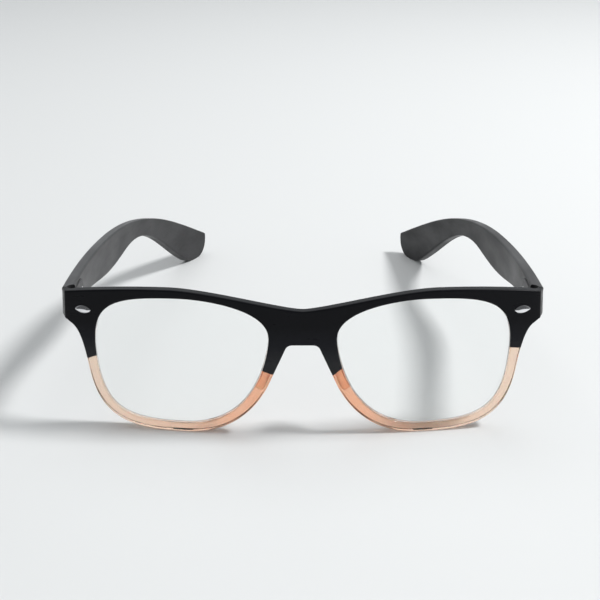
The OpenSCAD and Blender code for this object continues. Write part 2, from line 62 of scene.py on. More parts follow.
camera_data = bpy.data.cameras.new("camera")
camera_data.sensor_width = SENSOR_W
camera_data.lens = SENSOR_W * FOCAL_PX / IMAGE_PX
camera_data.shift_x = (IMAGE_PX / 2 - MIDDLE_PX) / IMAGE_PX
camera = bpy.data.objects.new("camera", camera_data)
camera.location = [c * MM for c in CAMERA_AT]
camera.rotation_euler = (np.radians(90 - CAMERA_DOWN), 0, 0)
bpy.context.scene.collection.objects.link(camera)
bpy.context.scene.camera = camera
print("lens:", camera_data.lens, "mm")

# %% [markdown]
# A plastic front is cut as a flat outline and then bent round the face. So it is drawn flat, as x and
# height, and its depth is added after. These are the driving sizes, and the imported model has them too.

# %% Driving sizes
LENS_W, LENS_H = 53.9, 43.4
LENS_T, LENS_INSET = 2.0, 0.6
RIDGE_H, RIDGE_T = 0.55, 0.8
BRIDGE_W, BRIDGE_H, BRIDGE_DROP = 20.8, 11.4, 6.3
RIM_W, RIM_NOSE_W, BROW_H = 3.0, 3.5, 2.8
FRONT_T, END_T = 2.9, 3.2
FACE_R = 450.0
LEAN = np.radians(4.3)
END_W, END_H, END_DROP, END_ROUND = 9.3, 9.1, 2.0, 0.8
END_SPLAY, END_FLARE, SPLAY_RUN = 1.6, 0.9, 3.0
CREST_SHARE = 0.56
NOTCH_HALF_W, NOTCH_R = 4.7, 2.2
TEMPLE_T, TIP_T, TEMPLE_REACH = 3.6, 3.3, 138.0
HINGE_INSET, HINGE_H = 1.4, 6.8
FOOT_CUT = 0.15
SEAT_GAP, STOP_GAP = 0.05, 0.1
print("lenses:", LENS_W, "by", LENS_H, "mm, bridge:", BRIDGE_W, "mm")

# %% [markdown]
# Places that pieces share follow from those sizes. Depth runs back from the foremost line of the face, and
# height, whose names end in _U, up along the front. The front leans back and rests on its rims' low points,
# so one function sets any place in it on the table.

# %% Shared places
def sag(x):
    """Depth of the curved face at x: the circle's radius less the height of its arc there."""
    return FACE_R - np.sqrt(FACE_R ** 2 - np.square(x))


CREST_U = RIM_W + LENS_H + BROW_H
BRIDGE_TOP_U = CREST_U - BRIDGE_DROP
BRIDGE_LOW_U = BRIDGE_TOP_U - BRIDGE_H
END_TOP_U = CREST_U - END_DROP
END_X = BRIDGE_W / 2 + LENS_W + END_W
CREST_X = BRIDGE_W / 2 + CREST_SHARE * LENS_W
END_BACK = sag(END_X) + END_T
HINGE_X = END_X - TEMPLE_T
HINGE_TOP_U = END_TOP_U - HINGE_INSET
HINGE_LOW_U = HINGE_TOP_U - HINGE_H
STAND_Z = (sag((BRIDGE_W + LENS_W) / 2) + FRONT_T) * np.sin(LEAN) - FOOT_CUT
ORIGIN_BACK = TEMPLE_REACH / 2


def splay(x, depth, height):
    """How far an endpiece's side comes in: SPLAY at the face, falling evenly to 0 at the back's depth."""
    outer_x = END_X + END_FLARE * (END_TOP_U - height) / END_H
    near_side = np.clip((x - outer_x) / SPLAY_RUN + 1, 0, 1)
    return END_SPLAY * near_side * np.clip((END_BACK - depth) / (END_BACK - sag(x)), 0, 1)


def front_to_table(x, depth, height):
    """The front's own frame, tipped back by LEAN about its foot, set on the table."""
    y = depth * np.cos(LEAN) + height * np.sin(LEAN) - ORIGIN_BACK
    z = height * np.cos(LEAN) - depth * np.sin(LEAN) + STAND_Z
    return np.stack(np.broadcast_arrays(x, y, z), axis=-1)


print("front:", 2 * END_X, "by", CREST_U, "mm, endpiece's back at depth", round(END_BACK, 2))

# %% [markdown]
# Frame makers draw with a few points and smooth curves between them. A cubic curve runs from its first
# handle to its last, and leaves and arrives in the directions of the two between.

# %% Curves
def bezier(handles, t):
    """Cubic curve: its four handles weighted by (1-t)^3, 3t(1-t)^2, 3t^2(1-t) and t^3, and summed."""
    t = np.asarray(t, float)
    weights = np.stack([(1 - t) ** 3, 3 * t * (1 - t) ** 2, 3 * t ** 2 * (1 - t), t ** 3], axis=-1)
    return np.einsum("...k,...kd->...d", weights, np.asarray(handles, float))


def bezier_way(handles, t):
    """Unit direction of the cubic curve: the differences of its handles weighted (1-t)^2, 2t(1-t), t^2."""
    t = np.asarray(t, float)
    weights = np.stack([(1 - t) ** 2, 2 * t * (1 - t), t ** 2], axis=-1)
    way = np.einsum("...k,...kd->...d", weights, np.diff(np.asarray(handles, float), axis=-2))
    return way / np.linalg.norm(way, axis=-1, keepdims=True)


def turned(v, degrees):
    """v turned about the origin: x' = x cos a - y sin a, y' = x sin a + y cos a."""
    a = np.radians(degrees)
    x, y = v[..., 0], v[..., 1]
    return np.stack([x * np.cos(a) - y * np.sin(a), x * np.sin(a) + y * np.cos(a)], axis=-1)


def unit(v):
    """v divided by its length."""
    return v / np.linalg.norm(v, axis=-1, keepdims=True)


print("half way along a straight curve:", bezier([(0, 0), (1, 0), (2, 0), (3, 0)], 0.5))

# %% [markdown]
# The lens outline is four cubic curves between its outermost points. A place on it is one number s: 0 at
# the outer side, 1 at the bottom, 2 at the nose and 3 at the top. Moving a place out along its normal by
# the rim's width gives the rim's outer edge, so one formula draws both.

# %% Lens outline
OUTER_UP, NOSE_UP = 0.57, 0.71
LENS_MIDDLE_X = (BRIDGE_W + LENS_W) / 2
OUTER_PT = np.array([BRIDGE_W / 2 + LENS_W, RIM_W + OUTER_UP * LENS_H])
LOW_PT = np.array([LENS_MIDDLE_X, RIM_W])
NOSE_PT = np.array([BRIDGE_W / 2, RIM_W + NOSE_UP * LENS_H])
TOP_PT = np.array([LENS_MIDDLE_X, RIM_W + LENS_H])


def corner_curve(a, b, corner, near, away):
    """Handles of a curve from a to b, each handle a share of the way from its end to the corner."""
    corner = np.array(corner)
    return [a, a + near * (corner - a), b + away * (corner - b), b]


LENS_CURVES = np.array([
    corner_curve(OUTER_PT, LOW_PT, (OUTER_PT[0], LOW_PT[1]), 0.89, 0.70),
    corner_curve(LOW_PT, NOSE_PT, (NOSE_PT[0], LOW_PT[1]), 0.86, 0.17),
    corner_curve(NOSE_PT, TOP_PT, (NOSE_PT[0], TOP_PT[1]), 0.78, 0.30),
    corner_curve(TOP_PT, OUTER_PT, (OUTER_PT[0], TOP_PT[1]), 0.72, 0.89)])


def lens_place(s):
    """The curve that each place s lies on, and how far along it: the whole and the rest of s modulo 4."""
    s = np.asarray(s, float) % 4
    k = np.minimum(np.floor(s).astype(int), 3)
    return LENS_CURVES[k], s - k


def lens_out(s):
    """Outward normal of the lens outline at places s: its direction turned by a right angle."""
    return turned(bezier_way(*lens_place(s)), 90)


def lens_edge(s, out=0.0):
    """The lens outline at places s, moved out along its normal."""
    return bezier(*lens_place(s)) + np.asarray(out)[..., None] * lens_out(s)


print("lens outline:", LENS_CURVES.shape[0], "curves, lowest point", lens_edge(1.0))

# %% [markdown]
# The front's outer outline starts at the top of the bridge and runs over the brow, round the endpiece,
# down the rim and up to the notch. A frame maker files every corner round, which is a fillet: an arc that
# touches both of the lines that meet there. The whole line is then cut into equal short steps, because
# even steps give clean normals by simple differences. First come the tools for such lines.

# %% Lines of points
STEP = 0.1
ARC_STEPS = 24
CURVE_STEPS = 160


def fillet(a, b, c, r):
    """Arc of radius r that touches the lines ab and bc: its centre lies on the corner's halving line."""
    a, b, c = (np.array(p, float) for p in (a, b, c))
    u, w = unit(a - b), unit(c - b)
    half = np.degrees(np.arccos(u @ w)) / 2
    centre = b + unit(u + w) * r / np.sin(np.radians(half))
    first = b + u * r / np.tan(np.radians(half)) - centre
    side = np.sign((b - a)[0] * (c - b)[1] - (b - a)[1] * (c - b)[0])
    return centre + turned(first, side * np.linspace(0, 180 - 2 * half, ARC_STEPS))


def path_length(points):
    """Distance along a line of points: the sum of the steps so far."""
    return np.concatenate([[0], np.cumsum(np.linalg.norm(np.diff(points, axis=0), axis=1))])


def at_length(points, q, values=None):
    """Values at distances q along a line of points (the points themselves if none are given)."""
    length, values = path_length(points), points if values is None else values
    return np.stack([np.interp(q, length, values[:, k]) for k in range(values.shape[1])], axis=-1)


def even(points, step=STEP):
    """The same line cut into equal steps."""
    total = path_length(points)[-1]
    return at_length(points, np.linspace(0, total, int(total / step) + 1))


def softened(points, passes):
    """Each point replaced by a quarter, a half and a quarter of itself and its neighbours, repeatedly."""
    for _ in range(passes):
        points = np.concatenate([points[:1], (points[:-2] + 2 * points[1:-1] + points[2:]) / 4, points[-1:]])
    return points


def left_of(points):
    """Unit normals to the left of a line of points, from the difference of each point's neighbours."""
    return turned(unit(np.gradient(points, axis=0)), 90)


# %% [markdown]
# Now the outline itself. The sweep is the hollow curve under the endpiece, which joins the rim a little
# below the lens's outermost point. The rim's outer edge ends beside the nose, where the notch begins.

# %% Outer outline of the right half
SWEEP_WAY = unit(np.array([-3.7, -1.0]))
SWEEP_LEAD, SWEEP_NEAR, SWEEP_FAR = 1.1, 3.7, 13.3
RIM_JOIN, RIM_LEAVE = 0.1, 1.55
BRIDGE_LEAD, CREST_NEAR, CREST_FAR, BROW_STOP = 0.14, 0.69, 0.5, 0.95
END_RUN, END_SLOPE = 2.0, 0.1
END_TOP, END_LOW = np.array([END_X, END_TOP_U]), np.array([END_X + END_FLARE, END_TOP_U - END_H])
SOFTENING = 6


def rim_width(s):
    """Width of the rim at places s: even up to the bottom, and from there wider towards the nose."""
    return RIM_W + (RIM_NOSE_W - RIM_W) * np.maximum(0, s - 1) / (RIM_LEAVE - 1)


def outer_outline():
    """Brow, endpiece, sweep, rim and notch, one after the other, clockwise from the top of the bridge."""
    t = np.linspace(0, 1, CURVE_STEPS)
    brow_in = bezier([(0, BRIDGE_TOP_U), (BRIDGE_LEAD * CREST_X, BRIDGE_TOP_U),
                      (CREST_NEAR * CREST_X, CREST_U), (CREST_X, CREST_U)], t)
    brow_end = np.array([END_X - END_ROUND, END_TOP_U])
    end_handle = brow_end + END_RUN * np.array([-1, END_SLOPE])
    brow_out = bezier([(CREST_X, CREST_U), (CREST_X + CREST_FAR * (END_X - CREST_X), CREST_U),
                       end_handle, brow_end], t[t < BROW_STOP])
    sweep_start = END_LOW + SWEEP_LEAD * SWEEP_WAY
    rim_at = lens_edge(RIM_JOIN, RIM_W)
    sweep = bezier([sweep_start, sweep_start + SWEEP_NEAR * SWEEP_WAY,
                    rim_at + SWEEP_FAR * turned(lens_out(RIM_JOIN), 90), rim_at], t)
    rim_s = np.linspace(RIM_JOIN, RIM_LEAVE, 4 * CURVE_STEPS)
    rim = lens_edge(rim_s, rim_width(rim_s))
    notch = fillet(rim[-1], (NOTCH_HALF_W, BRIDGE_LOW_U), (0, BRIDGE_LOW_U), NOTCH_R)
    return np.concatenate([brow_in, brow_out, fillet(end_handle, END_TOP, END_LOW, END_ROUND),
                           fillet(END_TOP, END_LOW, sweep_start, END_ROUND), sweep, rim, notch,
                           [(0, BRIDGE_LOW_U)]])


OUTLINE = softened(even(outer_outline()), SOFTENING)
OUTLINE_OUT = left_of(OUTLINE)
OUTLINE_OUT[0], OUTLINE_OUT[-1] = (0, 1), (0, -1)
OUTLINE_Q = path_length(OUTLINE)


def q_near(point):
    """Distance along the outline of the place nearest to a point."""
    return OUTLINE_Q[np.argmin(np.linalg.norm(OUTLINE - np.asarray(point), axis=1))]


print("outline:", len(OUTLINE), "points,", round(OUTLINE_Q[-1], 1), "mm")

# %% [markdown]
# Front and temples are plates: two flat edges a little apart, with a thickness and rounded borders. One
# column of the grid runs once round the section between two points of those edges: over the near face,
# a quarter turn, down the wall, a quarter turn, back over the far face, and up the other wall. Stacking
# such columns along the edges gives the whole skin. A quarter turn of radius r has its points at
# r(1 - sin f) in from the edge and r(1 - cos f) below the face, with f from 0 to 90 degrees. Two rows lie
# close to each turn, which keeps the flat faces' shading flat.

# %% Plate grid
TURN = np.radians(np.linspace(0, 90, 7))
FACE_SHARES = np.array([0, 0.03, 0.12, 0.3, 0.5, 0.7, 0.88, 0.97, 1])
WALL_SHARES = np.array([0.04, 0.5, 0.96])


def plate_grid(a, a_in, b, b_in, near, far, radius, groove=None):
    """Columns round a plate's section between edge points a and b, as flat places and depths.

    a_in and b_in are unit ways into the plate, near(p) and far(p) the depths of its faces, radius that of
    the rounding. groove is (depth from, depth to, height) of a slot cut in a's wall, measured by near.
    """
    rows = []

    def add(flat, depth):
        """A row of places, each at its depth."""
        rows.append(np.column_stack([flat, depth]))

    def face(surface, shares):
        """Rows over a face, at shares of the way from a's rounding to b's."""
        start, end = a + radius * a_in, b + radius * b_in
        for share in shares:
            flat = start + share * (end - start)
            add(flat, surface(flat))

    def turn(edge, way_in, surface, below, angles):
        """Rows of a quarter turn; below is 1 where the plate lies deeper than the surface, else -1."""
        for f in angles:
            flat = edge + radius * (1 - np.sin(f)) * way_in
            add(flat, surface(flat) + below * radius * (1 - np.cos(f)))

    def wall(edge, shares):
        """Rows on a wall, at shares of the way between its two roundings."""
        for share in shares:
            add(edge, near(edge) + radius + share * (far(edge) - near(edge) - 2 * radius))

    face(near, FACE_SHARES)
    turn(b, b_in, near, 1, TURN[1:])
    wall(b, WALL_SHARES)
    turn(b, b_in, far, -1, TURN[::-1])
    face(far, FACE_SHARES[-2:0:-1])
    turn(a, a_in, far, -1, TURN)
    if groove:
        start, end, height = groove
        for depth, into in ((end, 0), (end, height), (start, height), (start, 0)):
            add(a + into * a_in, near(a) + depth)
    else:
        wall(a, WALL_SHARES[::-1])
    turn(a, a_in, near, 1, TURN[:0:-1])
    return np.stack(rows, axis=1)


print("a quarter turn has", len(TURN), "rows")

# %% [markdown]
# A grid becomes a skin when each point is joined to its right, upper right and upper neighbours. Three
# kinds of skin are enough here: a sleeve with faced ends, a ring like a hose bent round on itself, and a
# ball, whose first and last rows are poles.

# %% Grids to skins
def grid_faces(columns, rows, wrap_columns=False):
    """Index quads of a grid whose rows wrap round: (c, r), (c+1, r), (c+1, r+1), (c, r+1)."""
    c = np.arange(columns if wrap_columns else columns - 1)[:, None]
    r = np.arange(rows)[None, :]
    c2, r2 = (c + 1) % columns, (r + 1) % rows
    corners = [c * rows + r, c2 * rows + r, c2 * rows + r2, c * rows + r2]
    return np.stack(np.broadcast_arrays(*corners), axis=-1).reshape(-1, 4)


def sleeve(grid, ends=(0, -1)):
    """Skin (points, faces, end rings) of a grid whose columns are open: each listed end gets one face."""
    n, m = grid.shape[:2]
    return grid, grid_faces(n, m), [list(range(end % n * m, (end % n + 1) * m)) for end in ends]


def ring(grid):
    """Skin of a grid that wraps round both ways."""
    return grid, grid_faces(*grid.shape[:2], wrap_columns=True), []


def ball(grid):
    """Skin of a grid whose columns wrap round, and whose first and last rows aren't joined but poles."""
    n, m = grid.shape[:2]
    return grid, grid_faces(n, m, wrap_columns=True).reshape(n, m, 4)[:, :-1].reshape(-1, 4), []


MIRROR = np.array([-1, 1, 1])


def mirrored(side, skin):
    """A skin as it is on the right, or with x turned round on the left."""
    points, faces, ends = skin
    return points * (MIRROR if side == "left" else 1), faces, ends


# %% [markdown]
# A mesh takes one or more skins. Points that fall together, as at a pole, are merged, and then all faces
# are turned outwards in one go. Shading is smooth but for corners sharper than a set angle.

# %% Skins to meshes
MERGE = 0.002 * MM
SHARP = np.radians(32)
ON_PLANE = 1e-6


def make_mesh(name, *skins, drop_x0=False):
    """One mesh from several skins in millimetres. Faces that lie in the plane x = 0 can be left out."""
    points, faces, start = [], [], 0
    for grid, skin_faces, ends in skins:
        flat = grid.reshape(-1, 3)
        if drop_x0:
            inside = np.abs(flat[skin_faces][:, :, 0]).max(axis=1) < ON_PLANE
            skin_faces = skin_faces[~inside]
        points.append(flat * MM)
        faces += (skin_faces + start).tolist() + [[i + start for i in end] for end in ends]
        start += len(flat)
    mesh = bpy.data.meshes.new(name)
    mesh.from_pydata(np.concatenate(points).tolist(), [], faces)
    piece = bpy.data.objects.new(name, mesh)
    bpy.context.scene.collection.objects.link(piece)
    tidy_mesh(piece)
    return piece


def make_piece(name, side, *skins):
    """A mesh named for its side, from skins drawn on the right."""
    return make_mesh(name.format(side), *(mirrored(side, skin) for skin in skins))


def tidy_mesh(piece):
    """Merges points that fall together, turns faces outwards and shades the piece."""
    shell = bmesh.new()
    shell.from_mesh(piece.data)
    bmesh.ops.remove_doubles(shell, verts=shell.verts, dist=MERGE)
    bmesh.ops.dissolve_degenerate(shell, edges=shell.edges, dist=MERGE / 10)
    bmesh.ops.recalc_face_normals(shell, faces=shell.faces)
    open_edges = sum(not e.is_manifold for e in shell.edges)
    shell.to_mesh(piece.data)
    shell.free()
    shade(piece)
    print(piece.name, "faces", len(piece.data.polygons), "open edges", open_edges)


def shade(piece):
    """Smooth shading, with edges sharper than SHARP kept as corners."""
    piece.data.shade_smooth()
    piece.data.set_sharp_from_angle(angle=SHARP)


# %% [markdown]
# A hollow is made the way a milling cutter makes it: a solid of the hollow's form is taken out of the
# piece. A Boolean modifier does that, and its result is kept as the piece's new mesh.

# %% Cutting
def cut(piece, side, skin):
    """Takes the volume inside a skin out of the piece."""
    cutter = make_piece("cutter", side, skin)
    tool = piece.modifiers.new("cut", "BOOLEAN")
    tool.operation, tool.solver, tool.object = "DIFFERENCE", "MANIFOLD", cutter
    shaped = piece.evaluated_get(bpy.context.evaluated_depsgraph_get())
    mesh = bpy.data.meshes.new_from_object(shaped)
    piece.modifiers.clear()
    piece.data = mesh
    bpy.data.objects.remove(cutter)
    shade(piece)
    print(piece.name, "faces after the cut", len(mesh.polygons))


# %% [markdown]
# Behind each endpiece the front is a little thicker, with a flat pad that carries the hinge and stops the
# temple. Ramps lead from the pad to the thin rim, and above it a slope keeps the top edge thin. So the
# back's depth is the larger of two: the even sheet's, and the least of the pad's, ramps' and slope's. The
# ramps start a little inside the sheet, at a depth of WELD, so that they leave its back at a clear line.
# In the middle, the bridge's face is hollowed by a fraction of a millimetre.

# %% Depths of the front's two faces
WELD = 0.4
PAD_MARGIN, PAD_BELOW, RAMP_RUN, RAMP_FALL, LEAF_L = 1.6, 2.6, 12.0, 6.0, 6.0
RAMP_X = HINGE_X - LEAF_L - PAD_MARGIN
RAMP_START = RAMP_X - RAMP_RUN
RAMP_U = HINGE_LOW_U - PAD_BELOW
HOLLOW, HOLLOW_HALF_W = 0.22, 6.5


def face_depth(flat):
    """Depth of the face: the large arc's, plus HOLLOW e^-(x / w)^4, which hollows the bridge's middle."""
    x = flat[:, 0]
    return sag(x) + HOLLOW * np.exp(-np.square(x / HOLLOW_HALF_W) ** 2)


def back_depth(flat):
    """Depth of the back: the even sheet's, or the pad's with its ramps and top slope where that is deeper."""
    x, u = flat[:, 0], flat[:, 1]
    thin = sag(RAMP_START) + FRONT_T
    in_plan = np.interp(x, [RAMP_START, RAMP_X], [thin - WELD, END_BACK], left=0)
    in_side = np.interp(u, [RAMP_U - RAMP_FALL, RAMP_U], [sag(RAMP_X) + FRONT_T - WELD, END_BACK], left=0)
    on_slope = thin + (END_BACK - thin) * (x - RAMP_START) / (END_X - RAMP_START) + END_TOP_U - u
    pad = np.minimum.reduce([in_plan, in_side, on_slope])
    return np.minimum(END_BACK, np.maximum(sag(x) + FRONT_T, pad))


# %% [markdown]
# The front is made of two plastics, bonded end to end: black above, and a translucent peach below. Each
# split is a short straight cut from the lens edge to the outer edge, with its own slant in degrees. Where a
# column starts on the lens edge is one number, and where it ends on the outer edge is another, so pairs
# of the two are listed for the corners, and what lies between is shared out evenly.

# %% Colour splits
SPLIT = {"left": {"outer": (0.03, -16), "nose": (1.65, 3)},
         "right": {"outer": (-0.02, -6), "nose": (1.67, 20)}}
NEAREST, REACH = 0.5, 8.0


def split_end(s, slant):
    """Where the cut from lens place s meets the outline: the outline point least far off the cut's line."""
    start, way = lens_edge(s), turned(lens_out(s), slant)
    off = OUTLINE - start
    ahead, aside = off @ way, np.abs(off[:, 0] * way[1] - off[:, 1] * way[0])
    aside[(ahead < NEAREST) | (ahead > REACH)] = REACH
    return OUTLINE_Q[np.argmin(aside)]


def paired(pairs, counts):
    """Lens places and outline distances between listed pairs, each stretch shared out evenly."""
    pairs = np.array(pairs, float)
    steps = np.concatenate([np.arange(n) / n + i for i, n in enumerate(counts)] + [[len(counts)]])
    at = np.arange(len(pairs))
    return np.interp(steps, at, pairs[:, 0]), np.interp(steps, at, pairs[:, 1])


def front_columns(s, q):
    """Edge points and inward ways for columns at lens places s and outline distances q."""
    inner, inner_in = lens_edge(s), lens_out(s)
    outer = at_length(OUTLINE, q)
    outer_in = -unit(at_length(OUTLINE, q, OUTLINE_OUT))
    return inner, inner_in, outer, outer_in


EDGE_R = 0.5
RIDGE_DEPTH = LENS_INSET + (LENS_T - RIDGE_T) / 2
GROOVE = (RIDGE_DEPTH - SEAT_GAP, RIDGE_DEPTH + RIDGE_T + SEAT_GAP, RIDGE_H + SEAT_GAP)


def front_skin(columns):
    """The skin round columns of the front, with the endpiece's side splayed, set on the table."""
    grid = plate_grid(*columns, face_depth, back_depth, EDGE_R, GROOVE)
    x, height, depth = grid[..., 0], grid[..., 1], grid[..., 2]
    return front_to_table(x - splay(x, depth, height), depth, height)


print("ridge at depth", RIDGE_DEPTH, "mm, groove", GROOVE)


# %% [markdown]
# The black upper front is one piece from split to split. Its right half is a fan of columns that turns
# round the lens: up beside the notch, up the bridge's middle, over the brow and down the endpiece. The
# left half is the same with its own splits, mirrored, and the two meet at x = 0, where no wall is kept.

# %% Upper front
NOTCH_S, BRIDGE_LOW_S, CREST_S, CORNER_S, CHIN_S = 1.93, 2.12, 3.05, 3.52, 3.73
BROW_PAIRS = [(2.22, 0), (2.36, 12), (2.6, 22)]
UNDER_COLUMNS, MIDDLE_COLUMNS = [24, 24, 12], 24
OVER_COLUMNS = [30, 24, 36, 60, 10, 16, 10, 20]
CORNER_RUN, CHIN_RUN = 0.05, 0.04


def upper_half(side):
    """Columns of one half in order: nose split to bridge's underside, up its middle, top to outer split."""
    outer_s, outer_slant = SPLIT[side]["outer"]
    nose_s, nose_slant = SPLIT[side]["nose"]
    q_end = OUTLINE_Q[-1]
    notch_q = q_near((NOTCH_HALF_W, BRIDGE_LOW_U)) - NOTCH_R
    under = front_columns(*paired([(nose_s, split_end(nose_s, nose_slant)), (NOTCH_S, notch_q),
                                   (BRIDGE_LOW_S - CORNER_RUN, notch_q + 2 * NOTCH_R), (BRIDGE_LOW_S, q_end)],
                                  UNDER_COLUMNS))
    over = front_columns(*paired([*BROW_PAIRS, (CREST_S, q_near((CREST_X, CREST_U))),
                                  (CORNER_S, q_near(END_TOP) - END_ROUND),
                                  (CORNER_S + CORNER_RUN, q_near(END_TOP) + END_ROUND),
                                  (CHIN_S, q_near(END_LOW) - END_ROUND),
                                  (CHIN_S + CHIN_RUN, q_near(END_LOW) + END_ROUND),
                                  (4 + outer_s, split_end(outer_s, outer_slant))],
                                 OVER_COLUMNS))
    s = np.linspace(BRIDGE_LOW_S, BROW_PAIRS[0][0], MIDDLE_COLUMNS)
    heights = np.linspace(BRIDGE_LOW_U + EDGE_R, BRIDGE_TOP_U - EDGE_R, MIDDLE_COLUMNS)
    on_middle = np.stack([0 * heights, heights], axis=-1)
    middle = (lens_edge(s), lens_out(s), on_middle, 0 * on_middle)
    columns = [np.concatenate(trio) for trio in zip(under, middle, over)]
    return mirrored(side, sleeve(front_skin(columns)))


front_upper = make_mesh("front_upper_shell", upper_half("left"), upper_half("right"), drop_x0=True)

# %% [markdown]
# The lower rims are the rest of the fan, from the outer split under the lens to the nose split. Here the
# outer edge is the lens edge moved out by the rim's width, so both ends of a column share one place. The
# rims rest on the table, so nothing may go below height 0, which leaves a small flat where they touch it.

# %% Lower rims
RIM_PLACES = 14
RIM_COLUMNS = 12
SPLIT_RUN = 0.12


def lower_rim(side):
    """Columns from the outer split to the nose split, square to the lens edge between the two cuts."""
    outer_s, outer_slant = SPLIT[side]["outer"]
    nose_s, nose_slant = SPLIT[side]["nose"]
    between = np.linspace(outer_s + SPLIT_RUN, nose_s - SPLIT_RUN, RIM_PLACES)
    pairs = [(outer_s, split_end(outer_s, outer_slant))]
    pairs += [(s, q_near(lens_edge(s, rim_width(s)))) for s in between]
    pairs += [(nose_s, split_end(nose_s, nose_slant))]
    grid = front_skin(front_columns(*paired(pairs, [RIM_COLUMNS] * (len(pairs) - 1))))
    grid[..., 2] = np.maximum(grid[..., 2], 0)
    return make_piece("lower_rim_shell_{}", side, sleeve(grid))


lower_rims = {side: lower_rim(side) for side in SPLIT}

# %% [markdown]
# A lens is ground from a round blank: two faces that follow the front's arc, an edge, and round that edge
# a ridge which snaps into the rim's groove. The grid turns once round the outline. Its rows run from the
# middle of the front face out to the edge, over the ridge, and back to the middle of the rear face.

# %% Lenses
LENS_BEVEL, RIDGE_BEVEL = 0.12, 0.2
LENS_ROWS = 14
LENS_STEP = 1 / 64


def lens(side):
    """Rows are shares of the way from the lens's middle to its edge, then moves out from the edge."""
    s = np.arange(0, 4, LENS_STEP)
    middle = np.array([LENS_MIDDLE_X, RIM_W + LENS_H / 2])
    ridge_from = (LENS_T - RIDGE_T) / 2
    ridge_to = ridge_from + RIDGE_T
    shares = np.linspace(0, 1, LENS_ROWS)[:-1]
    rows = [(share, 0, 0) for share in shares]
    rows += [(1, -LENS_BEVEL, 0), (1, 0, LENS_BEVEL), (1, 0, ridge_from),
             (1, RIDGE_H, ridge_from + RIDGE_BEVEL), (1, RIDGE_H, ridge_to - RIDGE_BEVEL), (1, 0, ridge_to),
             (1, 0, LENS_T - LENS_BEVEL), (1, -LENS_BEVEL, LENS_T)]
    rows += [(share, 0, LENS_T) for share in shares[::-1]]
    layers = []
    for share, out, depth in rows:
        flat = middle + share * (lens_edge(s, out - SEAT_GAP) - middle)
        layers.append(front_to_table(flat[:, 0], sag(flat[:, 0]) + LENS_INSET + depth, flat[:, 1]))
    return make_piece("lens_shell_{}", side, ball(np.stack(layers, axis=1)))


lenses = {side: lens(side) for side in SPLIT}

# %% [markdown]
# The nose pads are swellings on the back of the rims' nose sides. Across, such a pad is an arch: straight
# walls that carry half a circle. Along the rim its crest rises, stays high and falls, and both of its
# ends are round. Each point moves towards the lens by a share of its height, so the whole arch leans over.

# %% Nose pads
PAD_H, PAD_R, PAD_LEAN = 3.8, 1.3, 0.12
PAD_PLACES = [1.52, 1.62, 1.74, 1.84]
PAD_CREST = [0.35, 0.95, 1.0, 0.55]
PAD_FROM, PAD_TO, PAD_STEPS = 1.3, 2.1, 400
PAD_ALONG, PAD_AROUND, PAD_SOFTENING = 61, 21, 12


def nose_pad(side):
    """Columns along the rim. Past the last place by b, width and height shrink by sqrt(1 - (b / R)^2)."""
    line = lens_edge(np.linspace(PAD_FROM, PAD_TO, PAD_STEPS), RIM_NOSE_W / 2)
    places = lens_edge(np.array(PAD_PLACES), RIM_NOSE_W / 2)
    at = [path_length(line)[np.argmin(np.linalg.norm(line - place, axis=1))] for place in places]
    half = (at[-1] - at[0]) / 2 + PAD_R
    q = (at[0] + at[-1]) / 2 - half * np.cos(np.linspace(0, np.pi, PAD_ALONG))
    past = np.maximum(0, np.maximum(at[0] - q, q - at[-1])) / PAD_R
    width = PAD_R * np.sqrt(np.maximum(0, 1 - past ** 2))
    crest = softened(np.interp(q, at, PAD_CREST)[:, None], PAD_SOFTENING)[:, 0] * PAD_H * width / PAD_R
    middle = at_length(line, q)
    out = unit(at_length(line, q, left_of(line)))
    cap = np.minimum(width, crest)
    arch = [(width, 0 * crest)]
    arch += [(width * np.cos(f), crest - cap + cap * np.sin(f)) for f in np.linspace(0, np.pi, PAD_AROUND)]
    arch += [(-width, 0 * crest)]
    layers = []
    for across, rise in arch:
        flat = middle + across[:, None] * out
        depth = sag(flat[:, 0]) + FRONT_T + SEAT_GAP / 2 + rise
        layers.append(front_to_table(flat[:, 0] + PAD_LEAN * rise, depth, flat[:, 1]))
    return make_piece("nose_pad_shell_{}", side, sleeve(np.stack(layers, axis=1), ends=()))


nose_pads = {side: nose_pad(side) for side in SPLIT}

# %% [markdown]
# The almond studs are stamped from bright metal. Their outline is two equal bows that cross, and their
# face rises from a thin edge to a low ridge. Height over the face is a share of the way in from the edge.

# %% Endpiece studs
STUD_L, STUD_H, STUD_OUT = 5.0, 2.6, 0.75
STUD_EDGE, STUD_FOOT, STUD_SWELL = 0.18, 0.1, 2.2
STUD_IN, STUD_DOWN, STUD_TILT = 6.9, 5.5, 4.0
STUD_X = END_X - STUD_IN
STUD_AROUND, STUD_RINGS = 96, 17


def stud_to_table(points):
    """From the stud's own axes (along, up, out of the face) to the front's place for it."""
    tilt = np.radians(STUD_TILT)
    along = points[..., 0] * np.cos(tilt) - points[..., 1] * np.sin(tilt)
    up = points[..., 0] * np.sin(tilt) + points[..., 1] * np.cos(tilt)
    turn = np.arcsin(STUD_X / FACE_R)
    x = STUD_X + along * np.cos(turn) + points[..., 2] * np.sin(turn)
    depth = sag(STUD_X) + along * np.sin(turn) - points[..., 2] * np.cos(turn)
    return front_to_table(x, depth, END_TOP_U - STUD_DOWN + up)


def almond(shares, rise):
    """Rings of the almond: x = a cos v, y = bow(x) either side, both times a share; rise(share) is out."""
    v = np.linspace(0, 2 * np.pi, STUD_AROUND, endpoint=False)
    bow_r = (STUD_L ** 2 + STUD_H ** 2) / (4 * STUD_H)
    x = STUD_L / 2 * np.cos(v)
    y = np.sign(np.sin(v)) * (np.sqrt(bow_r ** 2 - x ** 2) - (bow_r - STUD_H / 2))
    rings = [np.stack([k * x, k * y, rise(k) + 0 * x], axis=-1) for k in shares]
    return np.stack(rings, axis=1)


